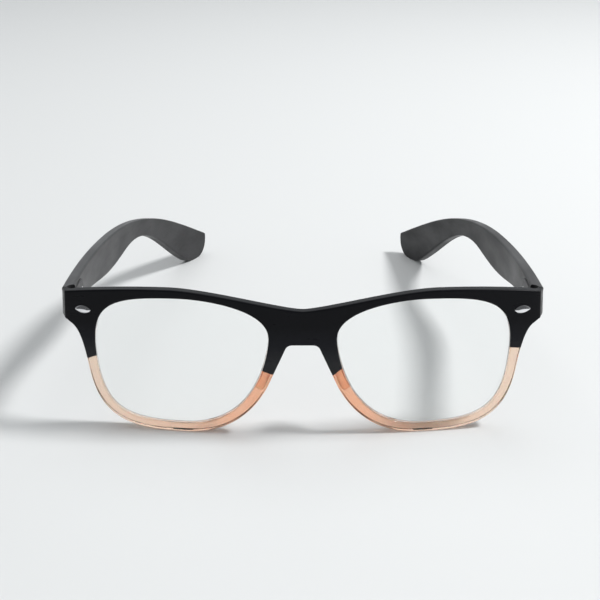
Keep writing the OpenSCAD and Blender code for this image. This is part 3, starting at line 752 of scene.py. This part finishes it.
def stud(side):
    """The face rises by EDGE + (OUT - EDGE)(1 - share^SWELL), and a flat foot closes it below the front."""
    top = almond(np.linspace(0, 1, STUD_RINGS),
                 lambda k: STUD_EDGE + (STUD_OUT - STUD_EDGE) * (1 - k ** STUD_SWELL))
    foot = almond([1.0, 0.0], lambda k: -STUD_FOOT)
    grid = stud_to_table(np.concatenate([top, foot], axis=1))
    return make_piece("stud_face_{}", side, ball(grid))


studs = {side: stud(side) for side in SPLIT}

# %% [markdown]
# A temple is a plate too: seen from the side it runs back, bends down behind the ear and ends round, and
# its thickness follows a bow seen from above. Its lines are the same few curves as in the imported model:
# a top edge, a lower edge with a waist, and an end curve that both run into. A lead is where a curve's
# handle lies, measured from the end that it belongs to.

# %% Temple lines
def hinge_depth(y, z):
    """Depth in the front's frame of a place seen from the side: it turns the table's y and z back."""
    return y * np.cos(LEAN) - (z - STAND_Z) * np.sin(LEAN)


ROOT_Y = END_BACK * np.cos(LEAN) + END_TOP_U * np.sin(LEAN)
ROOT_TOP_Z = STAND_Z - END_BACK * np.sin(LEAN) + END_TOP_U * np.cos(LEAN)
ROOT_H, ROOT_LEAD = 9.0, 8.0
FALL = np.tan(np.radians(6.7))
BEND_Y = 66.0
WAIST_IN, WAIST_Z = 60.0, 28.8
TIP_TOP = np.array([TEMPLE_REACH, 9.8])
TIP_LOW = np.array([TEMPLE_REACH - 13.5, 2.7])
FALL_WAY = unit(np.array([1, -FALL]))
BEND = np.array([BEND_Y, ROOT_TOP_Z - (BEND_Y - ROOT_Y) * FALL])
ROOT_LOW = np.array([ROOT_Y, ROOT_TOP_Z - ROOT_H])
WAIST = np.array([TEMPLE_REACH - WAIST_IN, WAIST_Z])
BEND_LEAD, TOP_LEAD = 34.6, (-23.7, 18.2)
END_LEADS = (5.8, -5.4), (0.4, -11.6)
ROOT_LOW_LEAD, WAIST_NEAR, WAIST_FAR, LOW_LEAD = (30.6, -1.2), (28.3, 3.4), (23.5, 2.8), (-15.7, 14.5)
MEET = 0.74
LINE_SOFTENING = 30


def past_stop(line):
    """The part of a line behind the temple's stop face, from its exact crossing with that face."""
    line = even(line, STEP / 2)
    depth = hinge_depth(line[:, 0], line[:, 1]) - (END_BACK + STOP_GAP)
    k = np.argmax(depth > 0)
    share = depth[k - 1] / (depth[k - 1] - depth[k])
    crossing = line[k - 1] + share * (line[k] - line[k - 1])
    return softened(even(np.concatenate([[crossing], line[k:]])), LINE_SOFTENING)


t = np.linspace(0, 1, CURVE_STEPS)
end_handles = [TIP_LOW, TIP_LOW + END_LEADS[0], TIP_TOP + END_LEADS[1], TIP_TOP]
top_bend = bezier([BEND, BEND + BEND_LEAD * FALL_WAY, TIP_TOP + TOP_LEAD, TIP_TOP], t)
low_near = bezier([ROOT_LOW, ROOT_LOW + ROOT_LOW_LEAD, WAIST - WAIST_NEAR, WAIST], t)
low_far = bezier([WAIST, WAIST + WAIST_FAR, TIP_LOW + LOW_LEAD, TIP_LOW], t)
root_top = BEND - (BEND_Y - ROOT_Y + ROOT_LEAD) * np.array([1, -FALL])
TOP_LINE = past_stop(np.concatenate([[root_top], top_bend, bezier(end_handles, 1 - (1 - MEET) * t)]))
LOW_LINE = past_stop(np.concatenate([[ROOT_LOW - (ROOT_LEAD, 0)], low_near, low_far,
                                     bezier(end_handles, MEET * t)]))
print("temple lines:", round(path_length(TOP_LINE)[-1]), "and", round(path_length(LOW_LINE)[-1]), "mm")

# %% [markdown]
# Seen from above the outer face is one long bow, and the inner face lies a wall's thickness inside it. The
# wall thins evenly from root to tip. Both faces are looked up by how far back a point lies.

# %% Temples
TIP_IN = 25.8
PLAN = [(END_X, ROOT_Y - 1), (END_X + 3.6, ROOT_Y + 41.7), (END_X + 1.6, ROOT_Y + 84.4),
        (END_X - TIP_IN, TEMPLE_REACH + 2)]
TEMPLE_R = 0.65
TEMPLE_COLUMNS, CROWDING = 200, 1.4
BOW_PAST = 8.0


def bow(share):
    """The outer face's line, moved in by a share of the wall: T + (TIP - T) t, at t along the bow."""
    t = np.linspace(0, 1, CURVE_STEPS)
    wall = TEMPLE_T + (TIP_T - TEMPLE_T) * t
    line = bezier(PLAN, t) + (share * wall)[:, None] * turned(bezier_way(PLAN, t), 90)
    return np.concatenate([[line[0] - (0, ROOT_LEAD)], line, [line[-1] + BOW_PAST * bezier_way(PLAN, 1.0)]])


OUTER_BOW, INNER_BOW = bow(0), bow(1)


def outer_side(flat):
    """How far in from the endpiece's side the outer face lies."""
    return END_X - np.interp(flat[:, 0], OUTER_BOW[:, 1], OUTER_BOW[:, 0])


def inner_side(flat):
    """The same for the inner face."""
    return END_X - np.interp(flat[:, 0], INNER_BOW[:, 1], INNER_BOW[:, 0])


def temple(side):
    """Columns between the two lines, at shares 1 - (1 - t)^CROWDING of both lengths: closer at the tip."""
    share = 1 - (1 - np.linspace(0, 1, TEMPLE_COLUMNS)) ** CROWDING
    top_q, low_q = share * path_length(TOP_LINE)[-1], share * path_length(LOW_LINE)[-1]
    top, low = at_length(TOP_LINE, top_q), at_length(LOW_LINE, low_q)
    top_in = -unit(at_length(TOP_LINE, top_q, left_of(TOP_LINE)))
    low_in = unit(at_length(LOW_LINE, low_q, left_of(LOW_LINE)))
    top[-1], top_in[-1] = low[-1], low_in[-1]
    grid = plate_grid(low, low_in, top, top_in, outer_side, inner_side, TEMPLE_R)
    grid = np.stack([END_X - grid[..., 2], grid[..., 0] - ORIGIN_BACK, np.maximum(grid[..., 1], 0)], axis=-1)
    return make_piece("temple_shell_{}", side, sleeve(grid, ends=[0]))


temples = {side: temple(side) for side in SPLIT}

# %% [markdown]
# Front and temples get the hollows that the hinge sits in: a round one for the barrels and a flat one for
# each leaf. They are cut with solids of the hinge's own sizes plus its running gaps. Above the endpiece's
# barrels the hollow is open, and round the barrels the temple is cut away over its whole height.

# %% Hinge hollows
BARREL_R, BARREL_GAP, LEAF_T = 1.7, 0.6, 0.9
TEMPLE_LEAF_L = 10.0
LEAF_FROM = END_BACK + BARREL_R + 2 * STOP_GAP
LEAF_TO = LEAF_FROM + TEMPLE_LEAF_L - BARREL_R
TUBE_PAST, CREST_PAST, BLOCK_PAST = 20.0, 5.0, 3.0
CUTTER_AROUND = 96


def about_hinge(profile, around, skin=ball):
    """Surface of revolution about the hinge axis: x = r cos v, depth = r sin v, height = u."""
    v = np.linspace(0, 2 * np.pi, around, endpoint=False)
    rings = [front_to_table(HINGE_X + r * np.cos(v), END_BACK + r * np.sin(v), u) for r, u in profile]
    return skin(np.stack(rings, axis=1))


def hinge_tube(radius, low, high):
    """A cylinder round the hinge's axis."""
    return about_hinge([(0, low), (radius, low), (radius, high), (0, high)], CUTTER_AROUND)


def hinge_block(x, depth, height):
    """A block with flat sides between two values each of x, depth and height."""
    section = np.array([[(depth[0], height[0]), (depth[1], height[0]), (depth[1], height[1]),
                         (depth[0], height[1])]])
    return sleeve(front_to_table(np.array(x)[:, None], section[..., 0], section[..., 1]))


for side in SPLIT:
    cut(temples[side], side,
        hinge_tube(BARREL_R + BARREL_GAP, HINGE_LOW_U - TUBE_PAST, HINGE_TOP_U + TUBE_PAST))
    cut(temples[side], side, hinge_block((HINGE_X - BLOCK_PAST, HINGE_X + LEAF_T + SEAT_GAP),
                                         (LEAF_FROM - SEAT_GAP, LEAF_TO + SEAT_GAP),
                                         (HINGE_LOW_U - SEAT_GAP, HINGE_TOP_U + SEAT_GAP)))
    cut(front_upper, side, hinge_tube(BARREL_R + STOP_GAP, HINGE_LOW_U - STOP_GAP, CREST_U + CREST_PAST))
    cut(front_upper, side, hinge_block((HINGE_X - LEAF_L - SEAT_GAP, HINGE_X),
                                       (END_BACK - LEAF_T - SEAT_GAP, END_BACK + BLOCK_PAST),
                                       (HINGE_LOW_U - STOP_GAP, HINGE_TOP_U + STOP_GAP)))

# %% [markdown]
# A hinge is turned and milled from steel: two leaves, three barrels with broken edges, and a slotted
# screw down through them. A barrel is a profile of radius against height, carried once round the axis. A
# leaf is a plate as the front is, only flat, and it runs on into its barrels. The temple's leaf has a
# narrow neck that does so, and the neck laps the leaf.

# %% Hinge parts
SCREW_R, TURN_GAP = 0.7, 0.05
BARREL_H = (HINGE_H - 2 * STOP_GAP) / 3
MID_LOW_U = HINGE_LOW_U + BARREL_H + STOP_GAP
CHAMFER = 0.12
INTO_BARREL = 0.6 * BARREL_R
NECK_LAP = 1.0
AROUND = 72
SCREW_HEAD_R, SCREW_HEAD_H = 1.25, 0.7


def barrel(low, bore):
    """A barrel's profile is its bore, its wall and two broken edges."""
    high = low + BARREL_H
    return about_hinge([(bore, low), (BARREL_R - CHAMFER, low), (BARREL_R, low + CHAMFER),
                        (BARREL_R, high - CHAMFER), (BARREL_R - CHAMFER, high), (bore, high)], AROUND, ring)


def leaf(x, depth, height):
    """A small plate with broken edges, drawn in x and height and given depth."""
    along = np.linspace(x[0], x[1], 3)
    a, b = (np.stack([along, 0 * along + u], axis=-1) for u in height)
    up = np.tile([0.0, 1.0], (3, 1))
    near, far = (lambda flat, at=at: at + 0 * flat[:, 0] for at in depth)
    grid = plate_grid(a, up, b, -up, near, far, CHAMFER)
    return sleeve(front_to_table(grid[..., 0], grid[..., 2], grid[..., 1]))


BORE_R = SCREW_R + TURN_GAP
FRONT_HINGE = (leaf((HINGE_X - LEAF_L, HINGE_X - INTO_BARREL), (END_BACK - LEAF_T, END_BACK),
                    (HINGE_LOW_U, HINGE_TOP_U)),
               barrel(HINGE_LOW_U, BORE_R), barrel(HINGE_TOP_U - BARREL_H, SCREW_HEAD_R + SEAT_GAP))
TEMPLE_HINGE = (leaf((HINGE_X, HINGE_X + LEAF_T), (LEAF_FROM, LEAF_TO), (HINGE_LOW_U, HINGE_TOP_U)),
                leaf((HINGE_X, HINGE_X + LEAF_T), (END_BACK + INTO_BARREL, LEAF_FROM + NECK_LAP),
                     (MID_LOW_U, MID_LOW_U + BARREL_H)),
                barrel(MID_LOW_U, BORE_R))

print("hinge:", HINGE_H, "mm high, three barrels of", round(BARREL_H, 2), "mm")

# %% [markdown]
# The screw's head is slightly domed: its top falls from the middle outwards, and a slot is milled into it.

# %% Hinges and their screws
HEAD_LOW_U = HINGE_TOP_U - SCREW_HEAD_H
HEAD_FALL = [(SCREW_HEAD_R, 0.2), (SCREW_HEAD_R - 0.1, 0.1), (0.6, 0.02), (0, 0)]
SHANK = [(0, HINGE_LOW_U), (SCREW_R - CHAMFER, HINGE_LOW_U), (SCREW_R, HINGE_LOW_U + CHAMFER),
         (SCREW_R, HEAD_LOW_U), (SCREW_HEAD_R - CHAMFER, HEAD_LOW_U), (SCREW_HEAD_R, HEAD_LOW_U + CHAMFER)]
SCREW = about_hinge(SHANK + [(r, HINGE_TOP_U - fall) for r, fall in HEAD_FALL], AROUND)
SLOT_L, SLOT_W, SLOT_DEEP, SLOT_PAST = 4.0, 0.4, 0.35, 1.0
SLOT = hinge_block((HINGE_X - SLOT_L / 2, HINGE_X + SLOT_L / 2),
                   (END_BACK - SLOT_W / 2, END_BACK + SLOT_W / 2),
                   (HINGE_TOP_U - SLOT_DEEP, HINGE_TOP_U + SLOT_PAST))

front_hinges, temple_hinges, screws = {}, {}, {}
for side in SPLIT:
    front_hinges[side] = make_piece("front_hinge_{}_steel", side, *FRONT_HINGE)
    temple_hinges[side] = make_piece("temple_hinge_{}_steel", side, *TEMPLE_HINGE)
    screws[side] = make_piece("hinge_screw_{}_steel", side, SCREW)
    cut(screws[side], side, SLOT)

# %% [markdown]
# Each temple's leaf is held by two rivets. Their heads lie flush in the temple's outer face, slightly
# domed by the punch. A head is a shallow bow turned about its own axis, which points out to the side.

# %% Temple rivets
RIVET_R, RIVET_DOME, RIVET_HEAD_H = 1.1, 0.12, 0.5
PIN_R, PIN_PROUD = 0.6, 0.02
RIVET_MARGIN, RIVET_AROUND = 1.6, 48
RIVET_YS = (ROOT_Y + TEMPLE_LEAF_L / 2, ROOT_Y + TEMPLE_LEAF_L - RIVET_MARGIN)
RIVET_Z = ROOT_TOP_Z - HINGE_INSET - HINGE_H / 2


def rivet(y):
    """Rings of radius r at height dome (1 - (r/R)^2) over the outer face, then the pin in to the leaf."""
    v = np.linspace(0, 2 * np.pi, RIVET_AROUND, endpoint=False)
    face_x = END_X - outer_side(np.array([[y, RIVET_Z]]))[0]
    leaf_in = HINGE_X - PIN_PROUD - face_x
    profile = [(r, RIVET_DOME * (1 - (r / RIVET_R) ** 2)) for r in RIVET_R * np.linspace(0, 1, 9)]
    profile += [(RIVET_R, -RIVET_HEAD_H), (PIN_R, -RIVET_HEAD_H), (PIN_R, leaf_in), (0, leaf_in)]
    rings = [np.stack([face_x + out + 0 * v, y - ORIGIN_BACK + r * np.cos(v), RIVET_Z + r * np.sin(v)],
                      axis=-1) for r, out in profile]
    return ball(np.stack(rings, axis=1))


RIVETS = [rivet(y) for y in RIVET_YS]
rivets = {side: make_piece("temple_rivets_{}_turned", side, *RIVETS) for side in SPLIT}

# %% [markdown]
# Finishes come from a few shader settings and some noise. Noise reads Object coordinates, which here are
# the model's own metres, so a Mapping node's scale says how many grains fit in a metre.

# %% Finishes and patterns
def finish(name, **settings):
    """A Principled material; settings name its sockets with _ for a blank."""
    material = bpy.data.materials.new(name)
    material.use_nodes = True
    shader = material.node_tree.nodes["Principled BSDF"]
    for socket, value in settings.items():
        shader.inputs[socket.replace("_", " ")].default_value = value
    return material, material.node_tree, shader


def node(tree, kind, inputs):
    """A new node whose inputs are numbers to set or other nodes' outputs to link."""
    made = tree.nodes.new("ShaderNode" + kind)
    for name, value in inputs.items():
        if isinstance(value, bpy.types.NodeSocket):
            tree.links.new(value, made.inputs[name])
        else:
            made.inputs[name].default_value = value
    return made


def grain(tree, scale, detail=3, stretch=(1, 1, 1)):
    """Noise with scale grains to the metre, stretched by the Mapping node."""
    place = node(tree, "TexCoord", {}).outputs["Object"]
    spread = node(tree, "Mapping", {"Vector": place, "Scale": [scale * k for k in stretch]})
    noise = node(tree, "TexNoise", {"Vector": spread.outputs["Vector"], "Scale": 1, "Detail": detail})
    return noise.outputs["Fac"]


def model_axis(tree, axis):
    """One of the model's own coordinates, in metres."""
    place = node(tree, "TexCoord", {}).outputs["Object"]
    return node(tree, "SeparateXYZ", {"Vector": place}).outputs[axis]


def ranged(tree, value, low, high, start=0.3, end=0.7):
    """value from start..end stretched to low..high."""
    return node(tree, "MapRange", {"Value": value, "From Min": start, "From Max": end,
                                   "To Min": low, "To Max": high}).outputs["Result"]


def combined(tree, operation, *values):
    """A Math node's result for one or two values."""
    made = node(tree, "Math", dict(enumerate(values)))
    made.operation = operation
    return made.outputs["Value"]


# %% [markdown]
# A pattern then drives a socket of the shader. What is the same all over is set on the socket itself.

# %% From patterns to sockets
def roughened(tree, shader, pattern, smooth, rough):
    """Roughness that runs from smooth to rough with a pattern."""
    tree.links.new(ranged(tree, pattern, smooth, rough), shader.inputs["Roughness"])


def bumpy(tree, shader, height, distance, strength):
    """A bump of a pattern, with the distance of its height in millimetres."""
    bump = node(tree, "Bump", {"Height": height, "Distance": distance * MM, "Strength": strength})
    tree.links.new(bump.outputs["Normal"], shader.inputs["Normal"])


def coloured(tree, value, stops, shader):
    """Base colour from a ramp over value; stops are (place, linear colour)."""
    ramp = node(tree, "ValToRGB", {"Fac": value})
    elements = ramp.color_ramp.elements
    while len(elements) < len(stops):
        elements.new(0.5)
    for element, (place, colour) in zip(elements, stops):
        element.position = place
        element.color = (*colour, 1)
    tree.links.new(ramp.outputs["Color"], shader.inputs["Base Color"])


def dress(piece, material, body, slot, *nodes):
    """Gives a piece its material and its body, and hides the nodes that it stands for. slot is not used."""
    piece.data.materials.clear()
    piece.data.materials.append(material)
    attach(piece, body)
    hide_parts(*nodes)
    print(piece.name, "is", material.name, "and rides on", body)


# %% [markdown]
# The upper front is black acetate, tumbled smooth but not mirror bright. Its blacks stay deep from the
# front and catch the light along the top, where a little sheen stands for the fine haze of a tumbled
# surface. Faint long scuffs come from a stretched noise in the roughness. Towards the splits, lower down,
# the black is a little greyer, which is painted light, so the colour also follows the model's height.

# %% Black acetate
black, tree, shader = finish("black_acetate", Specular_IOR_Level=0.1, Sheen_Weight=0.08,
                             Sheen_Roughness=0.3)
# Painted light: the black turns greyer lower down, towards the splits, following the model's height.
painted_light_by_height = ranged(tree, model_axis(tree, "Z"), 0.1, 0.9, 0.025, 0.038)
grain_and_painted_light = combined(tree, "ADD", painted_light_by_height, ranged(tree, grain(tree, 900), -0.05, 0.05))
coloured(tree, grain_and_painted_light, [(0.1, (0.027, 0.027, 0.029)), (0.5, (0.0105, 0.011, 0.0145)),
                         (0.9, (0.005, 0.0052, 0.0068))], shader)
roughened(tree, shader, grain(tree, 260, 5, (0.25, 1, 1)), 0.24, 0.4)
bumpy(tree, shader, grain(tree, 1500, 2), 0.004, 0.4)
dress(front_upper, black, "front", "front_black", "front_upper")

# %% [markdown]
# The lower rims are a clear peach plastic that is only a little milky. Light that comes from behind goes
# through them, so they glow against a pale table, with a dark line where their edges bend it away. The
# colour is palest at the sides and deepens towards the nose, so it follows the distance from the model's
# middle, with a little cloud in it.

# %% Peach acetate
peach, tree, shader = finish("peach_acetate", Roughness=0.1, IOR=1.4, Transmission_Weight=0.93,
                             Subsurface_Weight=1.0, Subsurface_Scale=0.003,
                             Subsurface_Radius=(1.0, 0.45, 0.25))
sideways = combined(tree, "ABSOLUTE", model_axis(tree, "X"))
paleness = ranged(tree, sideways, 0.1, 0.9, 0.016, 0.064)
cloudy = combined(tree, "ADD", paleness, ranged(tree, grain(tree, 160), -0.06, 0.06))
coloured(tree, cloudy,
         [(0.1, (1.0, 0.53, 0.34)), (0.43, (1.0, 0.69, 0.53)), (0.9, (1.0, 0.77, 0.62))], shader)
bumpy(tree, shader, grain(tree, 700, 2), 0.004, 0.3)
for side in SPLIT:
    dress(lower_rims[side], peach, "front", "rim_peach", "lower_rim_" + side)

# %% [markdown]
# The nose pads are of the same plastic, but paler and frosted, so they hardly show behind the rims that
# they grow on.

# %% Pad plastic
pad, tree, shader = finish("pad_plastic", Roughness=0.45, IOR=1.25, Transmission_Weight=0.85,
                           Subsurface_Weight=1.0, Subsurface_Scale=0.003)
coloured(tree, grain(tree, 160), [(0.3, (1.0, 0.84, 0.73)), (0.7, (1.0, 0.89, 0.8))], shader)
for side in SPLIT:
    dress(nose_pads[side], pad, "front", "pad_peach", "nose_pad_" + side)

# %% [markdown]
# Clear lenses are almost nothing but their edges and a faint reflection. They are real glass here, with
# the index of lens plastic.

# %% Lens plastic
clear, tree, shader = finish("lens_clear", Base_Color=(0.985, 0.995, 0.99, 1), Roughness=0.0, IOR=1.5,
                             Transmission_Weight=1.0)
for side in SPLIT:
    dress(lenses[side], clear, "front", "lens_clear", "lens_" + side)

# %% [markdown]
# The temples are dark grey and finely matte, with a brushed grain along their length. The roughness has
# long clouds in it, as where hands have rubbed, and a soft sheen lifts the faces that are seen edge on.

# %% Matte grey plastic
grey, tree, shader = finish("temple_grey", Specular_IOR_Level=0.5, Sheen_Weight=0.23,
                            Sheen_Roughness=0.35)
coloured(tree, grain(tree, 1300, 3, (1, 0.15, 1)),
         [(0.3, (0.011, 0.011, 0.0125)), (0.7, (0.018, 0.0175, 0.0195))], shader)
roughened(tree, shader, grain(tree, 140, 5, (1, 0.4, 1)), 0.36, 0.6)
bumpy(tree, shader, grain(tree, 2600, 2, (1, 0.35, 1)), 0.006, 0.4)
for side in SPLIT:
    dress(temples[side], grey, "temple_arm_" + side, "temple_grey", "temple_" + side)

# %% [markdown]
# Three metals: polished studs and rivets, milled hinges with a fine brushed grain, and the drawn wire in
# the temples' cores, which nothing shows but which is there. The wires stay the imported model's own.

# %% Metals
def metal(name, colour, scale, stretch, smooth, rough):
    """A metal whose roughness runs from smooth to rough with a stretched grain."""
    material, tree, shader = finish(name, Base_Color=(*colour, 1), Metallic=1.0)
    roughened(tree, shader, grain(tree, scale, 3, stretch), smooth, rough)
    return material


bright = metal("polished_metal", (0.86, 0.86, 0.88), 900, (1, 1, 1), 0.08, 0.16)
steel = metal("hinge_steel", (0.1, 0.098, 0.1), 1800, (1, 1, 0.1), 0.38, 0.52)
wire = metal("wire_steel", (0.5, 0.5, 0.52), 1500, (1, 0.1, 1), 0.25, 0.4)
for side in SPLIT:
    arm = "temple_arm_" + side
    dress(studs[side], bright, "front", "stud_polished", "endpiece_stud_" + side)
    dress(rivets[side], bright, arm, "stud_polished", "temple_rivets_" + side)
    dress(front_hinges[side], steel, "front", "hinge_steel", "front_hinge_" + side)
    dress(temple_hinges[side], steel, arm, "hinge_steel", "temple_hinge_" + side)
    dress(screws[side], steel, "front", "screw_steel", "hinge_screw_" + side)
    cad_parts["core_wire_" + side].data.materials.clear()
    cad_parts["core_wire_" + side].data.materials.append(wire)

# %% [markdown]
# The stage is a plain pale floor. A lamp high on the right, almost in line with the front, throws the
# temples' shadows to the left, and a wide faint one overhead lights the top edges.

# %% Floor and lamps
FLOOR_HALF = 3000
corners = [(x * FLOOR_HALF * MM, y * FLOOR_HALF * MM, 0) for x, y in ((-1, -1), (1, -1), (1, 1), (-1, 1))]
floor_mesh = bpy.data.meshes.new("floor")
floor_mesh.from_pydata(corners, [], [[0, 1, 2, 3]])
floor = bpy.data.objects.new("floor", floor_mesh)
bpy.context.scene.collection.objects.link(floor)
pale, tree, shader = finish("pale_floor", Base_Color=(0.71, 0.72, 0.72, 1), Roughness=0.5,
                            Specular_IOR_Level=0.2)
floor_mesh.materials.append(pale)


def lamp(name, at, aim, size, watts):
    """A round lamp that faces a point: tilted from straight down by the angle of its way, then turned."""
    data = bpy.data.lights.new(name, "AREA")
    data.shape, data.size, data.energy = "DISK", size * MM, watts
    light = bpy.data.objects.new(name, data)
    light.location = [c * MM for c in at]
    way = np.array(aim, float) - np.array(at, float)
    across = np.hypot(way[0], way[1])
    light.rotation_euler = (np.arctan2(across, -way[2]), 0, np.arctan2(way[1], way[0]) - np.pi / 2)
    bpy.context.scene.collection.objects.link(light)
    print(name, watts, "W at", at)


lamp("window", (960, 60, 1240), (0, 0, 20), 300, 20)
lamp("ceiling", (-150, 500, 1500), (0, 0, 0), 1400, 6)

# %% [markdown]
# The world fills the shadows. Its strength depends on the direction y and on what asks for it. Diffuse
# light comes more from in front. Reflections meet a room that is dark in front and bright behind, so the
# black faces stay deep and their edges catch light. What shows through rims and lenses is bright all
# round. The camera sees an even pale background.

# %% World
world = bpy.data.worlds.new("world")
world.use_nodes = True
sky = world.node_tree
background = sky.nodes["Background"]
background.inputs["Color"].default_value = (0.9, 0.93, 0.95, 1)
rays = node(sky, "LightPath", {}).outputs
towards = node(sky, "TexCoord", {}).outputs["Generated"]
to_back = node(sky, "SeparateXYZ", {"Vector": towards}).outputs["Y"]
BACKDROP = 0.8


def for_rays(kind, own, others):
    """A strength that is own for one kind of ray and others for the rest."""
    return node(sky, "Mix", {"Factor": rays[kind], "A": others, "B": own}).outputs["Result"]


strength = ranged(sky, to_back, 0.62, 0.22, -1, 1)
strength = for_rays("Is Glossy Ray", ranged(sky, to_back, 0.1, 1.0, -0.4, 0.6), strength)
strength = for_rays("Is Transmission Ray", ranged(sky, to_back, 0.8, 1.0, -0.4, 0.6), strength)
strength = for_rays("Is Camera Ray", BACKDROP, strength)
sky.links.new(strength, background.inputs["Strength"])
bpy.context.scene.world = world
bpy.context.scene.view_settings.view_transform = "Standard"
print("strength of the world that the camera sees:", BACKDROP)
